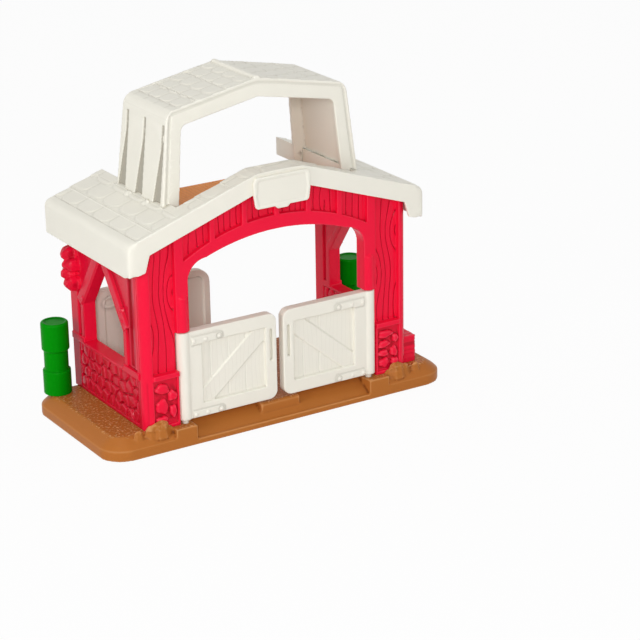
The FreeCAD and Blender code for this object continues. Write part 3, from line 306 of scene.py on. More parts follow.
def form_of(node, voxel, softness):
    """Points, normals and mesh of a CAD node rebuilt from small even faces."""
    scale = 1.0
    holder = new_object(node + "_form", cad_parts[node].data.copy())
    remesh = holder.modifiers.new("even", "REMESH")
    remesh.mode = "VOXEL"
    remesh.voxel_size = voxel * scale * MM
    mesh = softened(evaluated_mesh(holder), softness)
    bpy.data.objects.remove(holder)
    return positions(mesh), normals_of(mesh), mesh


def finish_form(name, node, mesh, points, marks, slot, keep=KEEP_FINE, body="root"):
    """Object from moved points, thinned where it is flat, that stands for a CAD node."""
    move_to(mesh, points)
    mesh.update()
    # Painted shade in hollows, where the surface lies below its blurred self, and a painted
    # highlight on convex edges
    hollow = ((positions(softened(mesh, HOLLOW_STEPS)) - points) * normals_of(mesh)).sum(1)
    painted_hollow_shade = HOLLOW_SHADE_SHARE.get(slot, 1.0) * smooth(hollow, *HOLLOW_DEPTHS)
    marks["painted_shade"] = np.maximum(marks.get("painted_shade", 0.0), painted_hollow_shade)
    marks["edge"] = smooth(-hollow, *EDGE_HEIGHTS)
    for mark, values in marks.items():
        layer = mesh.attributes.new(mark, "FLOAT", "POINT")
        layer.data.foreach_set("value", values.astype(np.float32))
    mesh.update()
    holder = new_object(name + "_full", mesh)
    thin = holder.modifiers.new("thin", "DECIMATE")
    thin.ratio = keep
    final = evaluated_mesh(holder)
    bpy.data.objects.remove(holder)
    final.name = name
    final.shade_smooth()
    obj = new_object(name, final)
    even = obj.modifiers.new("even_light", "WEIGHTED_NORMAL")
    even.weight = NORMAL_WEIGHT
    obj.data = evaluated_mesh(obj)
    obj.modifiers.clear()
    dress(obj, PLASTICS[slot])
    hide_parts(node)
    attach(obj, body)


def dress(obj, material):
    """One material for the whole object."""
    obj.data.materials.clear()
    obj.data.materials.append(material)


def linear(red, green, blue):
    """Linear colour from an sRGB one."""
    def one(value):
        value = value / 255.0
        return value / 12.92 if value <= 0.04045 else ((value + 0.055) / 1.055) ** 2.4
    return (one(red), one(green), one(blue), 1.0)


def scaled(colour, factor):
    """Colour made lighter or darker."""
    return tuple(min(1.0, factor * part) for part in colour[:3]) + (1.0,)


def node_material(name):
    """New material with its nodes, their links and its shader."""
    material = bpy.data.materials.new(name)
    material.use_nodes = True
    nodes, links = material.node_tree.nodes, material.node_tree.links
    return material, nodes, links, nodes["Principled BSDF"]


def math_node(nodes, links, operation, first, second=0.0):
    """Output of a math node that takes outputs or numbers."""
    node = nodes.new("ShaderNodeMath")
    node.operation = operation
    for socket, value in zip(node.inputs, (first, second)):
        if isinstance(value, (int, float)):
            socket.default_value = value
        else:
            links.new(value, socket)
    return node.outputs[0]


def mix_colour(nodes, links, share, first, second):
    """Output of a colour mix that takes outputs or colours."""
    node = nodes.new("ShaderNodeMix")
    node.data_type = "RGBA"
    links.new(share, node.inputs["Factor"])
    for name, value in (("A", first), ("B", second)):
        if isinstance(value, tuple):
            node.inputs[name].default_value = value
        else:
            links.new(value, node.inputs[name])
    return node.outputs["Result"]


def texture(nodes, links, place, scale, detail):
    """Output of a noise texture fixed to the object."""
    node = nodes.new("ShaderNodeTexNoise")
    node.inputs["Scale"].default_value = scale
    node.inputs["Detail"].default_value = detail
    links.new(place, node.inputs["Vector"])
    return node.outputs["Fac"]


def mark_of(nodes, name):
    """Output of a mark that the mesh carries."""
    node = nodes.new("ShaderNodeAttribute")
    node.attribute_name = name
    return node.outputs["Fac"]


def band(nodes, links, value, low, high):
    """Output that goes from 0 at low to 1 at high."""
    node = nodes.new("ShaderNodeMapRange")
    node.inputs["From Min"].default_value = low
    node.inputs["From Max"].default_value = high
    links.new(value, node.inputs["Value"])
    return node.outputs["Result"]


def spread(nodes, links, share, low, high):
    """Output that goes from low to high as a share goes from 0 to 1."""
    node = nodes.new("ShaderNodeMapRange")
    node.inputs["To Min"].default_value = low
    node.inputs["To Max"].default_value = high
    links.new(share, node.inputs["Value"])
    return node.outputs["Result"]


# Plastics: mottling, painted highlights at edges, painted shade in grooves, drawn lines of grain
# and specks
MOTTLE_SCALE = 38.0
MOTTLE_DETAIL = 3.0
MOTTLE_DARK = 0.97
MOTTLE_LIGHT = 1.03
LEAST_ROUGH = 0.85
MOST_ROUGH = 1.15
EDGE_HIGHLIGHT_SHARE = 0.45
GRAIN_LINE_SHARE = 0.06
GRAIN_LINE_DEPTH = 0.3
FINE_DETAIL = 2.0
SPECK_SCALE = 620.0
SPECK_BAND = (0.54, 0.64)


def plastic(name, colour, shade, light, roughness, specular, fine_scale, fine_height,
            speck_height=0.0):
    """Moulded plastic: painted shade in grooves, darker grain, painted edge highlights, faint
    mottle, fine texture.
    """
    material, nodes, links, shader = node_material(name)
    shader.inputs["Specular IOR Level"].default_value = specular
    place = nodes.new("ShaderNodeTexCoord").outputs["Object"]
    colour, shade, light = linear(*colour), linear(*shade), linear(*light)
    mottle = texture(nodes, links, place, MOTTLE_SCALE, MOTTLE_DETAIL)
    tone = mix_colour(nodes, links, mottle, scaled(colour, MOTTLE_DARK),
                      scaled(colour, MOTTLE_LIGHT))
    # Painted highlight along convex edges, in the light colour
    edge_highlight = math_node(nodes, links, "MULTIPLY", mark_of(nodes, "edge"), EDGE_HIGHLIGHT_SHARE)
    tone = mix_colour(nodes, links, edge_highlight, tone, light)
    turn = math_node(nodes, links, "FRACT", mark_of(nodes, "phase"))
    off = math_node(nodes, links, "SUBTRACT", turn, 0.5)
    off = math_node(nodes, links, "ABSOLUTE", off)
    line = band(nodes, links, off, 0.5 - GRAIN_LINE_SHARE, 0.5)
    line = math_node(nodes, links, "MULTIPLY", line, mark_of(nodes, "grain"))
    # Painted shade in grooves and hollows, together with the grain lines
    shade_and_grain = math_node(nodes, links, "MAXIMUM", mark_of(nodes, "painted_shade"), line)
    gloss = spread(nodes, links, mottle, roughness * LEAST_ROUGH, roughness * MOST_ROUGH)
    links.new(gloss, shader.inputs["Roughness"])
    fine = texture(nodes, links, place, fine_scale, FINE_DETAIL)
    height = math_node(nodes, links, "MULTIPLY", fine, fine_height)
    cut = math_node(nodes, links, "MULTIPLY", line, GRAIN_LINE_DEPTH)
    height = math_node(nodes, links, "SUBTRACT", height, cut)
    if speck_height:
        speck = texture(nodes, links, place, SPECK_SCALE, FINE_DETAIL)
        speck = band(nodes, links, speck, *SPECK_BAND)
        speck = math_node(nodes, links, "MULTIPLY", speck, mark_of(nodes, "speck"))
        raised = math_node(nodes, links, "MULTIPLY", speck, speck_height)
        height = math_node(nodes, links, "ADD", height, raised)
        tone = mix_colour(nodes, links, speck, tone, light)
    links.new(mix_colour(nodes, links, shade_and_grain, tone, shade), shader.inputs["Base Color"])
    bump = nodes.new("ShaderNodeBump")
    bump.inputs["Distance"].default_value = MM
    bump.inputs["Strength"].default_value = 1.0
    links.new(height, bump.inputs["Height"])
    links.new(bump.outputs["Normal"], shader.inputs["Normal"])
    return material


# Steel of the screws
STEEL_SPECK_SCALE = 600.0
STEEL_DARK = (188, 190, 194)
STEEL_LIGHT = (214, 214, 212)
STEEL_ROUGHNESS = (0.28, 0.45)


def steel():
    """Zinc-plated steel of the screws."""
    material, nodes, links, shader = node_material("screw_steel")
    shader.inputs["Metallic"].default_value = 1.0
    speck = nodes.new("ShaderNodeTexNoise")
    speck.inputs["Scale"].default_value = STEEL_SPECK_SCALE
    share = speck.outputs["Fac"]
    tone = mix_colour(nodes, links, share, linear(*STEEL_DARK), linear(*STEEL_LIGHT))
    links.new(tone, shader.inputs["Base Color"])
    links.new(spread(nodes, links, share, *STEEL_ROUGHNESS), shader.inputs["Roughness"])
    return material


STEEL = steel()
# Colour, painted shade in grooves and hollows, light colour for painted edge highlights and
# specks, roughness, gloss, and the fine texture's scale, height and specks
PLASTICS = {
    "red_plastic": plastic("red_plastic", (238, 19, 58), (150, 0, 18), (246, 104, 126),
                           0.2, 0.12, 900.0, 0.01),
    "white_plastic": plastic("white_plastic", (236, 233, 221), (172, 167, 154), (243, 240, 230),
                             0.4, 0.18, 1100.0, 0.015),
    "brown_plastic": plastic("brown_plastic", (176, 107, 46), (120, 62, 18), (224, 168, 112),
                             0.4, 0.12, 420.0, 0.03, 0.5),
    "tan_plastic": plastic("tan_plastic", (236, 150, 76), (172, 100, 48), (240, 172, 110),
                           0.46, 0.12, 700.0, 0.03),
    "green_plastic": plastic("green_plastic", (2, 138, 6), (0, 84, 2), (24, 160, 34),
                             0.3, 0.03, 900.0, 0.01),
}


# Front wall: how deep its panels and its stone fields lie, their grain, the single stones and the
# painted shade at their feet
PANEL_SUNK = 3.2
STONES_SUNK = 1.4
PANEL_REACH = 0.9
STONES_REACH = 0.8
GRAIN_SPACING = 5.0
GRAIN_DEPTH = 0.4
GRAIN_SHARE = 0.85
POST_INNER = HALF_HOUSE - 23.4
POST_MARGIN = 1.0
LEDGE_TOP = 48.0
LEDGE_FOOT = 45.0
STONE_HEIGHT = 2.1
STONE_FOOT = (0.0, 0.35)
STONE_SHADE = 0.3
# Across, up, radius and stretch of each knot
ARCH_KNOTS = [(-45.2, 126.0, 2.4, 1.8), (-22.6, 139.0, 2.2, 1.8), (35.3, 134.5, 2.3, 3.2),
              (-58.0, 121.0, 1.6, 3.0), (45.2, 122.0, 2.4, 1.8)]
POST_KNOTS = [(-68.5, 98.0, 9.5, 1.8), (-93.5, 122.0, 8.5, 1.7), (-94.0, 70.0, 8.5, 2.2),
              (93.5, 107.0, 10.0, 1.6), (69.0, 80.0, 8.0, 2.2), (94.0, 60.0, 8.0, 2.2)]
# Across, up, half width, half height and turn of each stone
POST_STONES = [(-83.0, 38.6, 5.0, 3.4, -0.25), (-76.2, 33.2, 3.3, 3.6, 0.6),
               (-83.4, 27.2, 4.3, 4.9, 0.3), (-76.0, 23.2, 2.5, 4.3, 0.1),
               (-84.0, 18.4, 4.2, 2.8, 0.2), (78.8, 39.4, 5.6, 2.7, 0.05),
               (77.6, 32.7, 4.6, 2.6, 0.15), (77.2, 26.6, 4.2, 2.4, -0.1),
               (85.2, 26.6, 2.9, 3.8, 0.3), (77.6, 20.2, 4.0, 3.2, 0.2),
               (85.8, 19.6, 3.0, 2.8, 0.0), (86.2, 35.6, 2.4, 3.0, 0.2)]


def front_wall():
    """Front wall with grain in its panels and stones in the foot of its posts."""
    points, normals, mesh = form_of("front_wall", VOXEL_CRISP, 2)
    x, y, z = points.T
    side = np.abs(x)
    facing = smooth(-normals[:, 1], *FACING)
    panel = facing * near(y, WALL_Y + PANEL_SUNK, PANEL_REACH) * (z > LEDGE_TOP)
    phase = np.where(side > POST_INNER - POST_MARGIN,
                     grain(x, z, POST_KNOTS, GRAIN_SPACING, SEED + 1),
                     grain(x, z, ARCH_KNOTS, GRAIN_SPACING, SEED))
    points[:, 1] += GRAIN_DEPTH * panel * lines_of(phase, GRAIN_SPACING)
    foot = facing * near(y, WALL_Y + STONES_SUNK, STONES_REACH)
    foot = foot * (side > POST_INNER) * (z < LEDGE_FOOT)
    bump = pebbles(x, z, POST_STONES)
    points[:, 1] -= foot * STONE_HEIGHT * bump
    # Painted shade round the feet of the stones
    shade = foot * (1.0 - smooth(bump, *STONE_FOOT)) * STONE_SHADE
    marks = {"painted_shade": shade, "phase": phase, "grain": GRAIN_SHARE * panel}
    finish_form("front_wall_form", "front_wall", mesh, points, marks, "red_plastic")


# Side walls: fields of cobbles on both faces, painted shade in their gaps and painted shade on the
# outer face
FIELD_FRONT = 3.2
FIELD_BACK = 10.2
FIELD_FOOT = 15.0
RAIL_FOOT = 45.4
RAIL_TOP = (50.3, 51.0)
OUTER_SKIN = 4.0
INNER_SKIN = 3.0
SKIN_MARGIN = 0.7
COBBLE_HEIGHT = 2.2
COBBLE_PITCH = (8.6, 7.6)
COBBLE_SHADE = 0.9
LOW_SIDE_SHADE = 0.5
HIGH_SIDE_SHADE = 0.3
SIDE_SHADE_FACING = (0.3, 0.7)

# Boards beside the windows: along the wall and up, for the window's corners and apex
WINDOW_REAR = (29.2, 72.5)
WINDOW_FRONT = (-23.7, 72.5)
WINDOW_APEX = (2.75, 109.0)
BOARD_INNER = (0.4, 1.2)
BOARD_WIDTH = 7.5
BOARD_BLUR = 0.8
BOARD_PROUD = 0.9
BOARD_TAIL = 2.0
BOARD_TOP = 113.0
BOARD_FADE = 0.5
BOARD_END_BLUR = 0.3
BOARD_STUDS = [(-23.5, 85.0), (-24.5, 77.5), (28.6, 77.0)]
STUD_RADIUS = 1.3
STUD_HEIGHT = 0.7

# Corner strip and the slot beside it
STRIP_BELOW = 2.2
STRIP_ABOVE = 1.0
SLOT_FRONT = -37.4
SLOT_BACK = -31.0
SLOT_SINK = 2.1
SLOT_BLUR = 0.3

# Bundle on the left wall and bale on the right one, with painted shade in their low parts
BUNDLE_FRONT = 31.0
BUNDLE_FOOT = 74.0
BUNDLE_ROOT = (0.2, 1.4)
BUNDLE_FOLDS = (1.15, 0.12)
BUNDLE_CREASE = 0.7
BUNDLE_PATTERN = (1.0, 0.5, 3.0)
BUNDLE_RELIEF = 0.36
BUNDLE_SHADE = 0.6
BALE_BACK = -16.8
BALE_TOP = 32.0
BALE_ROOT = 1.3
BALE_WIDENING = 0.5
BALE_RELIEF = 0.22
BALE_SHADE = 0.5
STALK_PATTERN = (0.9, 0.25, 0.8)
TUFT_PATTERN = (0.5, 1.6, 1.4)
SHADED = (0.3, 1.5)


def board(y, z, corner, turn):
    """Share of a raised board along the slanted window edge from a corner to the apex."""
    rise_y, rise_z = WINDOW_APEX[0] - corner[0], WINDOW_APEX[1] - corner[1]
    length = math.hypot(rise_y, rise_z)
    along_y, along_z = rise_y / length, rise_z / length
    run = (y - corner[0]) * along_y + (z - corner[1]) * along_z
    out = turn * ((y - corner[0]) * along_z - (z - corner[1]) * along_y)
    share = smooth(out, *BOARD_INNER) * (1.0 - beyond(out, BOARD_WIDTH, BOARD_BLUR))
    share = share * beyond(run, -BOARD_TAIL, BOARD_END_BLUR)
    return share * (1.0 - smooth(z, BOARD_TOP - BOARD_FADE, BOARD_TOP))


def hung_share(sign, side, y, z):
    """Share of the bundle that hangs on the left wall, or of the bale at the right one."""
    if sign < 0:
        root, free = BUNDLE_ROOT
        share = smooth(side, HALF_HOUSE + root, HALF_HOUSE + free)
        return share * (y > BUNDLE_FRONT) * (z > BUNDLE_FOOT)
    return (side > HALF_HOUSE - BALE_ROOT) * (y < BALE_BACK) * (z < BALE_TOP)


def trim_of(side, y, z, skin):
    """Outward move that levels the corner strip, sinks the slot and raises the boards."""
    past_strip = beyond(y, SLOT_FRONT, SLOT_BLUR)
    strip = skin * (1.0 - past_strip) * (z < BOARD_TOP)
    slot = skin * past_strip * (1.0 - beyond(y, SLOT_BACK, SLOT_BLUR))
    boards = np.maximum(board(y, z, WINDOW_REAR, 1), board(y, z, WINDOW_FRONT, -1)) * skin
    target = np.where(slot > 0.5, HALF_HOUSE - SLOT_SINK, HALF_HOUSE)
    level = np.maximum(strip, slot) * (target - side)
    return level * (1.0 - boards) + boards * (HALF_HOUSE + BOARD_PROUD - side)


def side_wall(name, sign, seed):
    """Side wall with cobbles below its rail, boards beside its window and its bundle or bale."""
    points, normals, mesh = form_of(name, VOXEL_CRISP, 2)
    x, y, z = points.T
    side = x * sign
    outward = normals[:, 0] * sign
    low = (WALL_LOW[1] + FIELD_FRONT, FIELD_FOOT)
    high = (WALL_HIGH[1] - FIELD_BACK, RAIL_FOOT)
    outer_skin = side > INNER_X + OUTER_SKIN
    outer = smooth(outward, *FACING) * outer_skin * (side < HALF_HOUSE - SKIN_MARGIN)
    inner = smooth(-outward, *FACING) * (side < INNER_X + INNER_SKIN)
    inner = inner * (side > INNER_X + SKIN_MARGIN)
    lumps, gaps = cobbles(y, z, low, high, COBBLE_PITCH, seed)
    lumps_in, gaps_in = cobbles(y, z, low, high, COBBLE_PITCH, seed + 1)
    hung = hung_share(sign, side, y, z)
    skin = (hung == 0) * (side > HALF_HOUSE - STRIP_BELOW) * (side < HALF_HOUSE + STRIP_ABOVE)
    skin = skin * smooth(z, *RAIL_TOP)
    studs = stud(y, z, BOARD_STUDS, STUD_RADIUS)
    facing = smooth(outward, *FACING_LOOSE)
    raised = trim_of(side, y, z, skin) + STUD_HEIGHT * studs * facing * skin
    stones = outer * COBBLE_HEIGHT * lumps - inner * COBBLE_HEIGHT * lumps_in
    points[:, 0] += sign * (stones + raised)
    # Painted shade on the outer face, heavier below the rail
    tone = np.where(z < RAIL_FOOT, LOW_SIDE_SHADE, HIGH_SIDE_SHADE)
    tone = tone * smooth(outward, *SIDE_SHADE_FACING) * outer_skin
    # Painted shade in the cobbles' gaps
    painted_shade = np.maximum(COBBLE_SHADE * np.maximum(outer * gaps, inner * gaps_in), tone)
    if sign < 0:
        across, up = BUNDLE_FOLDS
        crease = BUNDLE_CREASE * noise(y, z, BUNDLE_PATTERN, seed + 3)
        relief = np.sin(across * y + up * z) + crease
        points += (hung * BUNDLE_RELIEF * relief)[:, None] * normals
        shade = BUNDLE_SHADE
    else:
        relief = noise(y, z, STALK_PATTERN, seed + 4) + noise(y, z, TUFT_PATTERN, seed + 5)
        points += (hung * BALE_RELIEF * relief)[:, None] * normals
        points[:, 0] += hung * BALE_WIDENING * np.maximum(side - HALF_HOUSE, 0.0)
        shade = BALE_SHADE
    # Painted shade in the low parts of the bundle's folds and the bale's tufts
    painted_shade = np.maximum(painted_shade, hung * smooth(-relief, *SHADED) * shade)
    finish_form(name + "_form", name, mesh, points, {"painted_shade": painted_shade}, "red_plastic")


# Roof: its slope, and the courses of shingles up from the lowest tips, with painted shade along
# their edges
RIDGE_X = 15.75
ROOF_SLOPE = 0.3343
SLOPE_LENGTH = 1.054
ROOF_UP = (0.72, 0.88)
SKIN_REACH = 2.4
RIDGE_SAG = 0.45
RIDGE_SAG_REACH = 9.0
LOWEST_TIP = 86.5
TIP_FADE = (-0.6, 0.2)
COURSE_PITCH = 13.1
SHINGLE_WIDTH = 21.05
SHINGLE_START = 51.2
SHINGLE_CORNER = 6.5
SHINGLE_HEIGHT = 1.0
ROOF_RIM = 2.6
RIM_BLUR = 0.5
RIM_SUNK = 0.1
ROOF_CUT_SHADE = 0.25
# Small lumps beside the handle's legs
TOE_PLACES = [(69.8, 8.6), (69.8, -14.2)]
TOE_RADIUS = 3.4
TOE_HEIGHT = 1.5
# Outer front corners, rounded by blurring
CORNER_REACH = (7.0, 3.0)
CORNER_STEPS = 160


def roof():
    """Roof with shingles on its slopes, between a front rim and the border of each eave."""
    points, normals, mesh = form_of("roof_shell", VOXEL_FINE, 2)
    x, y, z = points.T
    side = np.abs(x)
    plane = ROOF_HIGH[2] - np.maximum(side - RIDGE_X, 0.0) * ROOF_SLOPE
    plane = plane - RIDGE_SAG * (1.0 - smooth(np.abs(side - RIDGE_X), 0.0, RIDGE_SAG_REACH))
    climb = LOWEST_TIP - (side - RIDGE_X) * SLOPE_LENGTH
    up = smooth(normals[:, 2], *ROOF_UP) * (np.abs(z - plane) < SKIN_REACH)
    up = up * smooth(climb, *TIP_FADE)
    from_front = y - ROOF_LOW[1]
    inside = smooth(from_front, ROOF_RIM, ROOF_RIM + RIM_BLUR)
    height, cut = shingles(climb, y - SHINGLE_START, COURSE_PITCH, SHINGLE_WIDTH, SHINGLE_CORNER,
                           SEED)
    shingled = plane - SHINGLE_HEIGHT * (1.0 - inside * height)
    target = np.where(from_front < ROOF_RIM, plane - RIM_SUNK, shingled)
    toes = TOE_HEIGHT * stud(side, y, TOE_PLACES, TOE_RADIUS)
    points[:, 2] += up * (target - z + toes)
    far, close = CORNER_REACH
    corner = smooth(side, ROOF_HIGH[0] - far, ROOF_HIGH[0] - close)
    corner = corner * smooth(-y, -ROOF_LOW[1] - far, -ROOF_LOW[1] - close)
    move_to(mesh, points)
    rounded = positions(softened(mesh, CORNER_STEPS))
    points += corner[:, None] * (rounded - points)
    # Painted shade along the shingles' edges
    marks = {"painted_shade": up * inside * cut * ROOF_CUT_SHADE}
    finish_form("roof_form", "roof_shell", mesh, points, marks, "white_plastic")


# Handle's top: its slope, shingles with painted shade along their edges, ridge bead and knob
HANDLE_DROP = 12.2
HANDLE_CORNER_X = 62.9
HANDLE_SLOPE = HANDLE_DROP / HANDLE_CORNER_X
HANDLE_PLANE = HANDLE_HIGH[2] + 0.4
RIDGE_ROUNDING = 4.0
HANDLE_UP = (0.75, 0.9)
HANDLE_TIP = 66.0
HANDLE_PITCH = 11.0
HANDLE_SHINGLE = 12.9
HANDLE_CORNER = 5.2
HANDLE_SUNK = 0.95
HANDLE_CUT_SHADE = 0.2
TOP_RIM = 2.2
TOP_BLUR = 0.6
TOP_END = 60.0
TOP_FADE = 2.0
RIDGE_BEAD = 3.2
BEAD_RADIUS = 2.1
BEAD_HEIGHT = 0.9
BEAD_FRONT = (3.0, 3.4)
KNOB_BACK = 6.6
KNOB_RADIUS = 3.4
KNOB_HEIGHT = 1.2

# Legs: grooves in the outer face and a line along the front band, both with painted shade
LEG_FOOT = LOFT_TOP + 14.0
LEG_TOP = HANDLE_HIGH[2] - HANDLE_DROP - 4.0
LEG_BACK = HANDLE_HIGH[1] - 1.5
LEG_FRONT_BAND = HANDLE_LOW[1] + 6.5
LEG_FRONT_FACE = -0.75
OUTLINE_STEP = 2.0
GROOVE_SHARES = (0.075, 0.456, 0.816)
GROOVE_TOP = 195.8
GROOVE_TOP_FADE = 1.5
GROOVE_DEPTH = 1.6
GROOVE_OPENS = np.array((-0.1, 0.4))
GROOVE_CLOSES = np.array((2.4, 3.4))
GROOVE_MARK = (0.3, 0.8)
GROOVE_LIMIT = 3.0
NOT_INWARD = (-0.3, -0.1)
RIM_LINE_FOOT = LOFT_TOP + 12.0
RIM_LINE_BACK = HANDLE_LOW[1] + 6.0
RIM_LINE_INSET = 2.7
RIM_LINE_REACH = 1.1
RIM_LINE_SUNK = 0.5
RIM_LINE_SHADE = 0.25
CROWN_COSINE = 0.98


def crown_height(side):
    """Height of the handle's top, rounded at its ridge, at a distance from the middle."""
    return HANDLE_PLANE - HANDLE_SLOPE * np.hypot(side, RIDGE_ROUNDING)


def shingle_handle(points, normals):
    """Lays shingles, a ridge bead and a knob on the handle's top and gives the share of painted
    shade along the shingles' edges.
    """
    x, y, z = points.T
    side = np.abs(x)
    plane = crown_height(side)
    middle = smooth(y, HANDLE_LOW[1] + TOP_RIM, HANDLE_LOW[1] + TOP_RIM + TOP_BLUR)
    middle = middle * smooth(HANDLE_HIGH[1] - y, TOP_RIM, TOP_RIM + TOP_BLUR)
    middle = middle * smooth(side, RIDGE_BEAD / 2, RIDGE_BEAD / 2 + TOP_BLUR)
    middle = middle * smooth(TOP_END - side, 0.0, TOP_FADE)
    up = smooth(normals[:, 2], *HANDLE_UP) * (np.abs(z - plane) < SKIN_REACH)
    height, cut = shingles(HANDLE_TIP - side, y - HANDLE_LOW[1], HANDLE_PITCH, HANDLE_SHINGLE,
                           HANDLE_CORNER, SEED + 3)
    target = plane - HANDLE_SUNK * (1.0 - height)
    points[:, 2] += up * middle * (target - z)
    knob = stud(x, y, [(0.0, HANDLE_LOW[1] + KNOB_BACK)], KNOB_RADIUS) * up
    start, full = BEAD_FRONT
    bead = dome(x / BEAD_RADIUS) * up
    bead = bead * smooth(y, HANDLE_LOW[1] + start, HANDLE_LOW[1] + full)
    points[:, 2] += np.maximum(BEAD_HEIGHT * bead, KNOB_HEIGHT * knob)
    # Share of painted shade along the shingles' edges
    return up * middle * cut


def groove_legs(points, normals):
    """Cuts the legs' grooves and the front band's line and gives the share of painted shade in
    each.
    """
    x, y, z = points.T
    side = np.abs(x)
    outward = normals[:, 0] * np.sign(x)
    step = np.maximum((z - LOFT_TOP) / OUTLINE_STEP, 0.0).astype(int)
    outline = np.zeros(step.max() + 1)
    np.maximum.at(outline, step, side)
    depth = outline[step] - side
    legs = (z > LEG_FOOT) * (z < LEG_TOP) * (y < LEG_BACK)
    legs = legs * ((normals[:, 1] > LEG_FRONT_FACE) + (y > LEG_FRONT_BAND))
    face = legs * smooth(outward, *FACING_LOOSE) * smooth(GROOVE_TOP - z, 0.0, GROOVE_TOP_FADE)
    for share in GROOVE_SHARES:
        start = HANDLE_LOW[1] + share * (HANDLE_HIGH[1] - HANDLE_LOW[1])
        strip = smooth(y, *(start + GROOVE_OPENS)) * (1.0 - smooth(y, *(start + GROOVE_CLOSES)))
        sunk = face * strip * np.maximum(GROOVE_DEPTH - depth, 0.0)
        points[:, 0] -= np.sign(x) * sunk
        depth = depth + sunk
    plane = crown_height(side)
    front = smooth(-normals[:, 1], *FACING_FIRM) * (y < RIM_LINE_BACK) * (z > RIM_LINE_FOOT)
    from_edge = np.minimum(depth, (plane - z) * CROWN_COSINE)
    line = front * near(from_edge, RIM_LINE_INSET, RIM_LINE_REACH) * (depth > 0.0)
    points[:, 1] += RIM_LINE_SUNK * line
    # Painted shade on the walls and floors of the leg grooves
    painted_shade = legs * smooth(outward, *NOT_INWARD) * smooth(depth, *GROOVE_MARK)
    return painted_shade * (depth < GROOVE_LIMIT), line


def handle():
    """Carry handle with shingles on its top and painted shade in the grooves between the planks of
    its legs.
    """
    points, normals, mesh = form_of("handle_shell", VOXEL_FINE, 2)
    cut = shingle_handle(points, normals)
    painted_shade, line = groove_legs(points, normals)
    # Painted shade in the leg grooves, along the shingles' edges and in the front band's line
    marks = {"painted_shade": np.maximum(painted_shade, HANDLE_CUT_SHADE * cut + RIM_LINE_SHADE * line)}
    finish_form("handle_form", "handle_shell", mesh, points, marks, "white_plastic")


def handle_liner():
    """Panel under the handle's crown."""
    points, _, mesh = form_of("handle_liner", VOXEL_MEDIUM, 2)
    finish_form("handle_liner_form", "handle_liner", mesh, points, {}, "white_plastic",
                KEEP_COARSE)


# Tray: lumps of earth at its front corners, crumbs on them and painted shade in their low parts
MOUND_RISE = (0.5, 2.0)
MOUND_X = 64.0
DECK_REACH = 0.9
LUMP_PATTERN = (1.0, 1.0, 4.6)
LUMP_LEAN = 0.7
CRUMB_SHARE = 0.3
CRUMB_SQUEEZE = 1.3
CRUMB_PATTERN = (CRUMB_SQUEEZE, 1.0, 2.6)
LUMP_RELIEF = 0.7
LUMP_SHADED = (0.2, 1.2)
LUMP_SHADE = 0.6
MOUND_SPECKS = 0.25


def tray():
    """Tray with a sparkling earth deck and lumps of earth at its front corners."""
    points, normals, mesh = form_of("base_tray", VOXEL_MEDIUM, 2)
    x, y, z = points.T
    deck = smooth(normals[:, 2], *FACING_LEVEL) * near(z, DECK_Z, DECK_REACH)
    foot, full = MOUND_RISE
    mound = smooth(z, DECK_Z + foot, DECK_Z + full) * (np.abs(x) > MOUND_X)
    lump = noise(x, y + LUMP_LEAN * z, LUMP_PATTERN, SEED)
    lump = lump + CRUMB_SHARE * noise(x, y * CRUMB_SQUEEZE + z, CRUMB_PATTERN, SEED + 4)
    points += (mound * LUMP_RELIEF * lump)[:, None] * normals
    # Painted shade in the low parts of the lumps
    marks = {"painted_shade": mound * smooth(-lump, *LUMP_SHADED) * LUMP_SHADE,
             "speck": np.maximum(deck, MOUND_SPECKS * mound)}
    finish_form("tray_form", "base_tray", mesh, points, marks, "brown_plastic")


# Loft floor: spacing of its grain, depth of the lines and how strongly they are drawn
LOFT_GRAIN = 2.6
LOFT_LINE_DEPTH = 0.2
LOFT_GRAIN_SHARE = 0.7


def loft():
    """Plank floor with grain along its planks."""
    points, normals, mesh = form_of("loft_floor", VOXEL_MEDIUM, 1)
    x, y, _ = points.T
    level = smooth(np.abs(normals[:, 2]), *FACING_LEVEL)
    phase = grain(x, y, [], LOFT_GRAIN, SEED + 5)
    lines = lines_of(phase, LOFT_GRAIN)
    points[:, 2] -= level * LOFT_LINE_DEPTH * lines * np.sign(normals[:, 2])
    marks = {"phase": phase, "grain": level * LOFT_GRAIN_SHARE}
    finish_form("loft_form", "loft_floor", mesh, points, marks, "tan_plastic")


# Half doors: places of the frame's face, the planks, the hinge straps and the barrel's end, and
# the painted shade beside the straps and in their rings
RAIL_UP = 65.3
RAIL_LOW = 17.2
FRAME_FACE = DOOR_FRONT + 1.25
FRAME_REACH = 0.9
PLANKS = (DOOR_FRONT + 2.4, DOOR_FRONT + 4.6)
PLANK_GRAIN = 3.1
PLANK_GRAIN_SHARE = 0.16
BARREL_X = 62.4
BARREL_TOP = 76.0
BARREL_FADE = (BARREL_TOP - 1.0, BARREL_TOP - 0.4)
ABOVE_BARREL = BARREL_TOP + 0.6
BARREL_CLEARANCE = 0.5
STRAP_HALF = 2.5
STRAP_END = 40.6
STRAP_MIDDLE = STRAP_END + STRAP_HALF
STRAP_PROUD = 0.55
STRAP_BLUR = 0.35
STRAP_EDGE = 0.4
STRAP_SHADE = 0.4
RING_RADIUS = 1.9
RING_SUNK = 0.3
OUTLINE_HALF = 0.6
RIVET_RADIUS = 0.9
STRAP_STUDS = [(52.7, 0.0), (61.0, 0.0)]


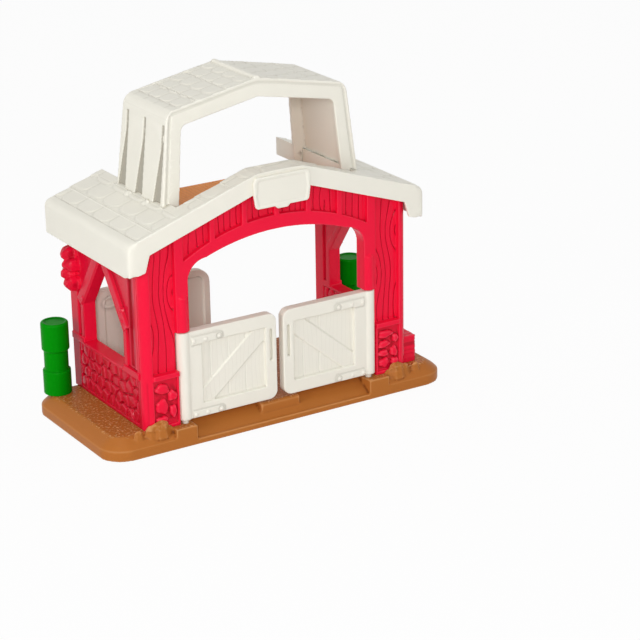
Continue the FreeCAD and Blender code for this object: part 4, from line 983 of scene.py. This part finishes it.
def door(name, sign):
    """Half door with hinge straps, studs and fine grain on its planks."""
    points, normals, mesh = form_of(name, VOXEL_CRISP, 1)
    x, y, z = points.T
    side = x * sign
    facing = smooth(-normals[:, 1], *FACING)
    frame_face = facing * near(y, FRAME_FACE, FRAME_REACH)
    away = np.minimum(np.abs(z - RAIL_UP), np.abs(z - RAIL_LOW))
    from_strap = np.hypot(away, np.maximum(STRAP_MIDDLE - side, 0.0))
    leaf = side < BARREL_X
    strap = (1.0 - beyond(from_strap, STRAP_HALF, STRAP_BLUR)) * leaf
    ring = near(np.hypot(side - STRAP_MIDDLE, away), RING_RADIUS, OUTLINE_HALF)
    rivet = stud(side, away, [(STRAP_MIDDLE, 0.0)], RIVET_RADIUS)
    studs = rivet + stud(side, away, STRAP_STUDS, STUD_RADIUS)
    barrel_end = smooth(z, *BARREL_FADE) * (z < ABOVE_BARREL) * (side > BARREL_X)
    points[:, 2] -= BARREL_CLEARANCE * barrel_end
    raised = STRAP_PROUD * strap - RING_SUNK * ring + STUD_HEIGHT * studs
    points[:, 1] -= frame_face * raised
    panel = facing * (y > PLANKS[0]) * (y < PLANKS[1])
    edge = near(from_strap, STRAP_HALF + STRAP_EDGE, OUTLINE_HALF) * leaf
    # Painted shade beside the straps' edges and in the sunk rings
    marks = {"painted_shade": frame_face * np.maximum(edge, ring) * STRAP_SHADE,
             "phase": grain(x, z, [], PLANK_GRAIN, SEED + 7),
             "grain": PLANK_GRAIN_SHARE * panel}
    finish_form(name + "_form", name, mesh, points, marks, "white_plastic", body=name)


# Oval on the rear door, across and up, with a ring of painted shade just outside it
OVAL_MIDDLE = (-70.2, 64.3)
OVAL_HALF = (4.4, 3.2)
OVAL_HEIGHT = 0.7
OVAL_LINE = 0.3
OVAL_SHADE_AT = 1.45
OVAL_SHADE_LINE = 0.25
OVAL_SHADE = 0.4
REAR_FRONT_FACE = 45.0


def rear_door():
    """Rear door with an embossed oval."""
    points, normals, mesh = form_of("rear_door", VOXEL_FINE, 2)
    x, y, z = points.T
    facing = smooth(-normals[:, 1], *FACING)
    oval = np.hypot((x - OVAL_MIDDLE[0]) / OVAL_HALF[0], (z - OVAL_MIDDLE[1]) / OVAL_HALF[1])
    ring = near(oval, 1.0, OVAL_LINE) * facing * (y < REAR_FRONT_FACE)
    points[:, 1] -= OVAL_HEIGHT * ring
    # Painted shade in a ring just outside the raised oval
    marks = {"painted_shade": near(oval, OVAL_SHADE_AT, OVAL_SHADE_LINE) * facing * OVAL_SHADE}
    finish_form("rear_door_form", "rear_door", mesh, points, marks, "white_plastic", KEEP_COARSE,
                "rear_door")


# Posts: dish in the top and the line of painted shade round it
DISH_DEPTH = 0.7
DISH_RIM = np.array((3.0, 2.0))
DISH_LINE = 2.6
DISH_LINE_REACH = 0.8
DISH_SHADE = 0.5
POST_TOP = 1.5


def post(name):
    """Green post whose top is dished inside a rim."""
    points, normals, mesh = form_of(name, VOXEL_FINE, 2)
    x, y, z = points.T
    low, high = node_box(name)
    middle = (low + high) / 2
    radius = (high[0] - low[0]) / 2
    reach = np.hypot(x - middle[0], y - middle[1])
    top = smooth(normals[:, 2], *FACING_FIRM) * (z > high[2] - POST_TOP)
    points[:, 2] -= top * DISH_DEPTH * (1.0 - smooth(reach, *(radius - DISH_RIM)))
    # Painted shade on the dish's sloping edge
    marks = {"painted_shade": top * near(reach, radius - DISH_LINE, DISH_LINE_REACH) * DISH_SHADE}
    finish_form(name + "_form", name, mesh, points, marks, "green_plastic", KEEP_COARSE)


# Sign plate: heights between which it widens, and by how much
SIGN_MIDDLE = 151.0
SIGN_TOP = 160.0
SIGN_FOOT = 143.0
SIGN_WIDENING = 0.19
SIGN_FOOT_WIDENING = 0.05


def sign_plate():
    """Bare sign plate with a wide top edge."""
    points, _, mesh = form_of("sign_plate", VOXEL_FINE, 2)
    above = smooth(points[:, 2], SIGN_MIDDLE, SIGN_TOP)
    below = 1.0 - smooth(points[:, 2], SIGN_FOOT, SIGN_MIDDLE)
    points[:, 0] *= 1.0 + SIGN_WIDENING * above + SIGN_FOOT_WIDENING * below
    finish_form("sign_form", "sign_plate", mesh, points, {}, "white_plastic")


front_wall()
side_wall("left_wall", -1, SEED + 20)
side_wall("right_wall", 1, SEED + 30)
roof()
handle()
handle_liner()
tray()
loft()
door("left_door", -1)
door("right_door", 1)
rear_door()
sign_plate()
post("left_post")
post("right_post")
for screws in ("wall_screws", "post_screws", "loft_screws", "roof_screws", "handle_screws"):
    dress(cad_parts[screws], STEEL)


# Camera fitted to the photograph: place and clipping in metres, angles in radians
CAMERA_PLACE = (-0.6594, -1.1590, 0.5494)
CAMERA_YAW = 0.5557
CAMERA_PITCH = -0.3588
CAMERA_ROLL = -0.0163
FOCAL_LENGTH = 125.4988
SENSOR_WIDTH = 36.0
CLIP_NEAR = 0.05
CLIP_FAR = 20.0


def camera():
    """Camera at the photograph's place."""
    ahead = Vector((math.sin(CAMERA_YAW) * math.cos(CAMERA_PITCH),
                    math.cos(CAMERA_YAW) * math.cos(CAMERA_PITCH), math.sin(CAMERA_PITCH)))
    level = Vector((math.cos(CAMERA_YAW), -math.sin(CAMERA_YAW), 0.0))
    above = level.cross(ahead)
    right = math.cos(CAMERA_ROLL) * level + math.sin(CAMERA_ROLL) * above
    up = -math.sin(CAMERA_ROLL) * level + math.cos(CAMERA_ROLL) * above
    data = bpy.data.cameras.new("camera")
    data.sensor_width = SENSOR_WIDTH
    data.lens = FOCAL_LENGTH
    data.clip_start = CLIP_NEAR
    data.clip_end = CLIP_FAR
    obj = new_object("camera", data)
    turn = Matrix((right, up, -ahead)).transposed().to_4x4()
    obj.matrix_world = Matrix.Translation(Vector(CAMERA_PLACE)) @ turn
    bpy.context.scene.camera = obj


# Studio, in metres and watts
WHITE_LIGHT = (1.0, 1.0, 1.0, 1.0)
LAMP_AIM = (0.0, 0.0, 0.1)
# Name, place, size and power of each lamp
LAMPS = (
    ("front", (-0.74, -1.2, 0.62), 0.3, 7.5),
    ("left", (-1.6, -0.5, 0.5), 0.4, 5.6),
    ("right", (1.2, -1.2, 1.0), 0.5, 2.0),
    ("top", (-0.3, -0.2, 1.75), 0.9, 3.4),
)
AMBIENT = 0.5
FLOOR_HALF = 40.0
FLOOR_SUNK = 0.0002
FLOOR_COLOUR = (0.85, 0.85, 0.85, 1.0)
FLOOR_ROUGHNESS = 0.9
FLOOR_WHITE = 0.94


def lamp(name, place, size, power):
    """Soft square white lamp that points at the barn's middle."""
    data = bpy.data.lights.new(name, "AREA")
    data.shape = "SQUARE"
    data.size = size
    data.energy = power
    obj = new_object(name, data)
    obj.location = place
    obj.rotation_euler = (Vector(LAMP_AIM) - Vector(place)).to_track_quat("-Z", "Y").to_euler()


def seen_white(nodes, links, lit, white, share, target):
    """Mixes a lit shader with plain white where the camera or a reflection sees it."""
    path = nodes.new("ShaderNodeLightPath")
    seen = math_node(nodes, links, "MAXIMUM", path.outputs["Is Camera Ray"],
                     path.outputs["Is Glossy Ray"])
    seen = math_node(nodes, links, "MAXIMUM", seen, path.outputs["Is Transmission Ray"])
    mix = nodes.new("ShaderNodeMixShader")
    links.new(math_node(nodes, links, "MULTIPLY", seen, share), mix.inputs[0])
    links.new(lit, mix.inputs[1])
    links.new(white, mix.inputs[2])
    links.new(mix.outputs[0], target)


def studio():
    """White surroundings and soft lamps."""
    world = bpy.data.worlds.new("studio")
    bpy.context.scene.world = world
    world.use_nodes = True
    nodes, links = world.node_tree.nodes, world.node_tree.links
    ambient = nodes["Background"]
    ambient.inputs["Color"].default_value = WHITE_LIGHT
    ambient.inputs["Strength"].default_value = AMBIENT
    white = nodes.new("ShaderNodeBackground")
    white.inputs["Color"].default_value = WHITE_LIGHT
    surface = nodes["World Output"].inputs["Surface"]
    seen_white(nodes, links, ambient.outputs[0], white.outputs[0], 1.0, surface)
    for name, place, size, power in LAMPS:
        lamp(name, place, size, power)


def ground():
    """Pale floor that shows the barn's shadow and is nearly white where it is seen."""
    mesh = bpy.data.meshes.new("floor")
    far = FLOOR_HALF
    mesh.from_pydata([(-far, -far, 0), (far, -far, 0), (far, far, 0), (-far, far, 0)], [],
                     [(0, 1, 2, 3)])
    floor = new_object("floor", mesh)
    floor.location.z = -FLOOR_SUNK
    material, nodes, links, shader = node_material("pale_floor")
    shader.inputs["Base Color"].default_value = FLOOR_COLOUR
    shader.inputs["Roughness"].default_value = FLOOR_ROUGHNESS
    shader.inputs["Specular IOR Level"].default_value = 0.0
    glow = nodes.new("ShaderNodeEmission")
    surface = nodes["Material Output"].inputs["Surface"]
    seen_white(nodes, links, shader.outputs[0], glow.outputs[0], FLOOR_WHITE, surface)
    dress(floor, material)


camera()
studio()
ground()
bpy.context.scene.view_settings.view_transform = "Standard"
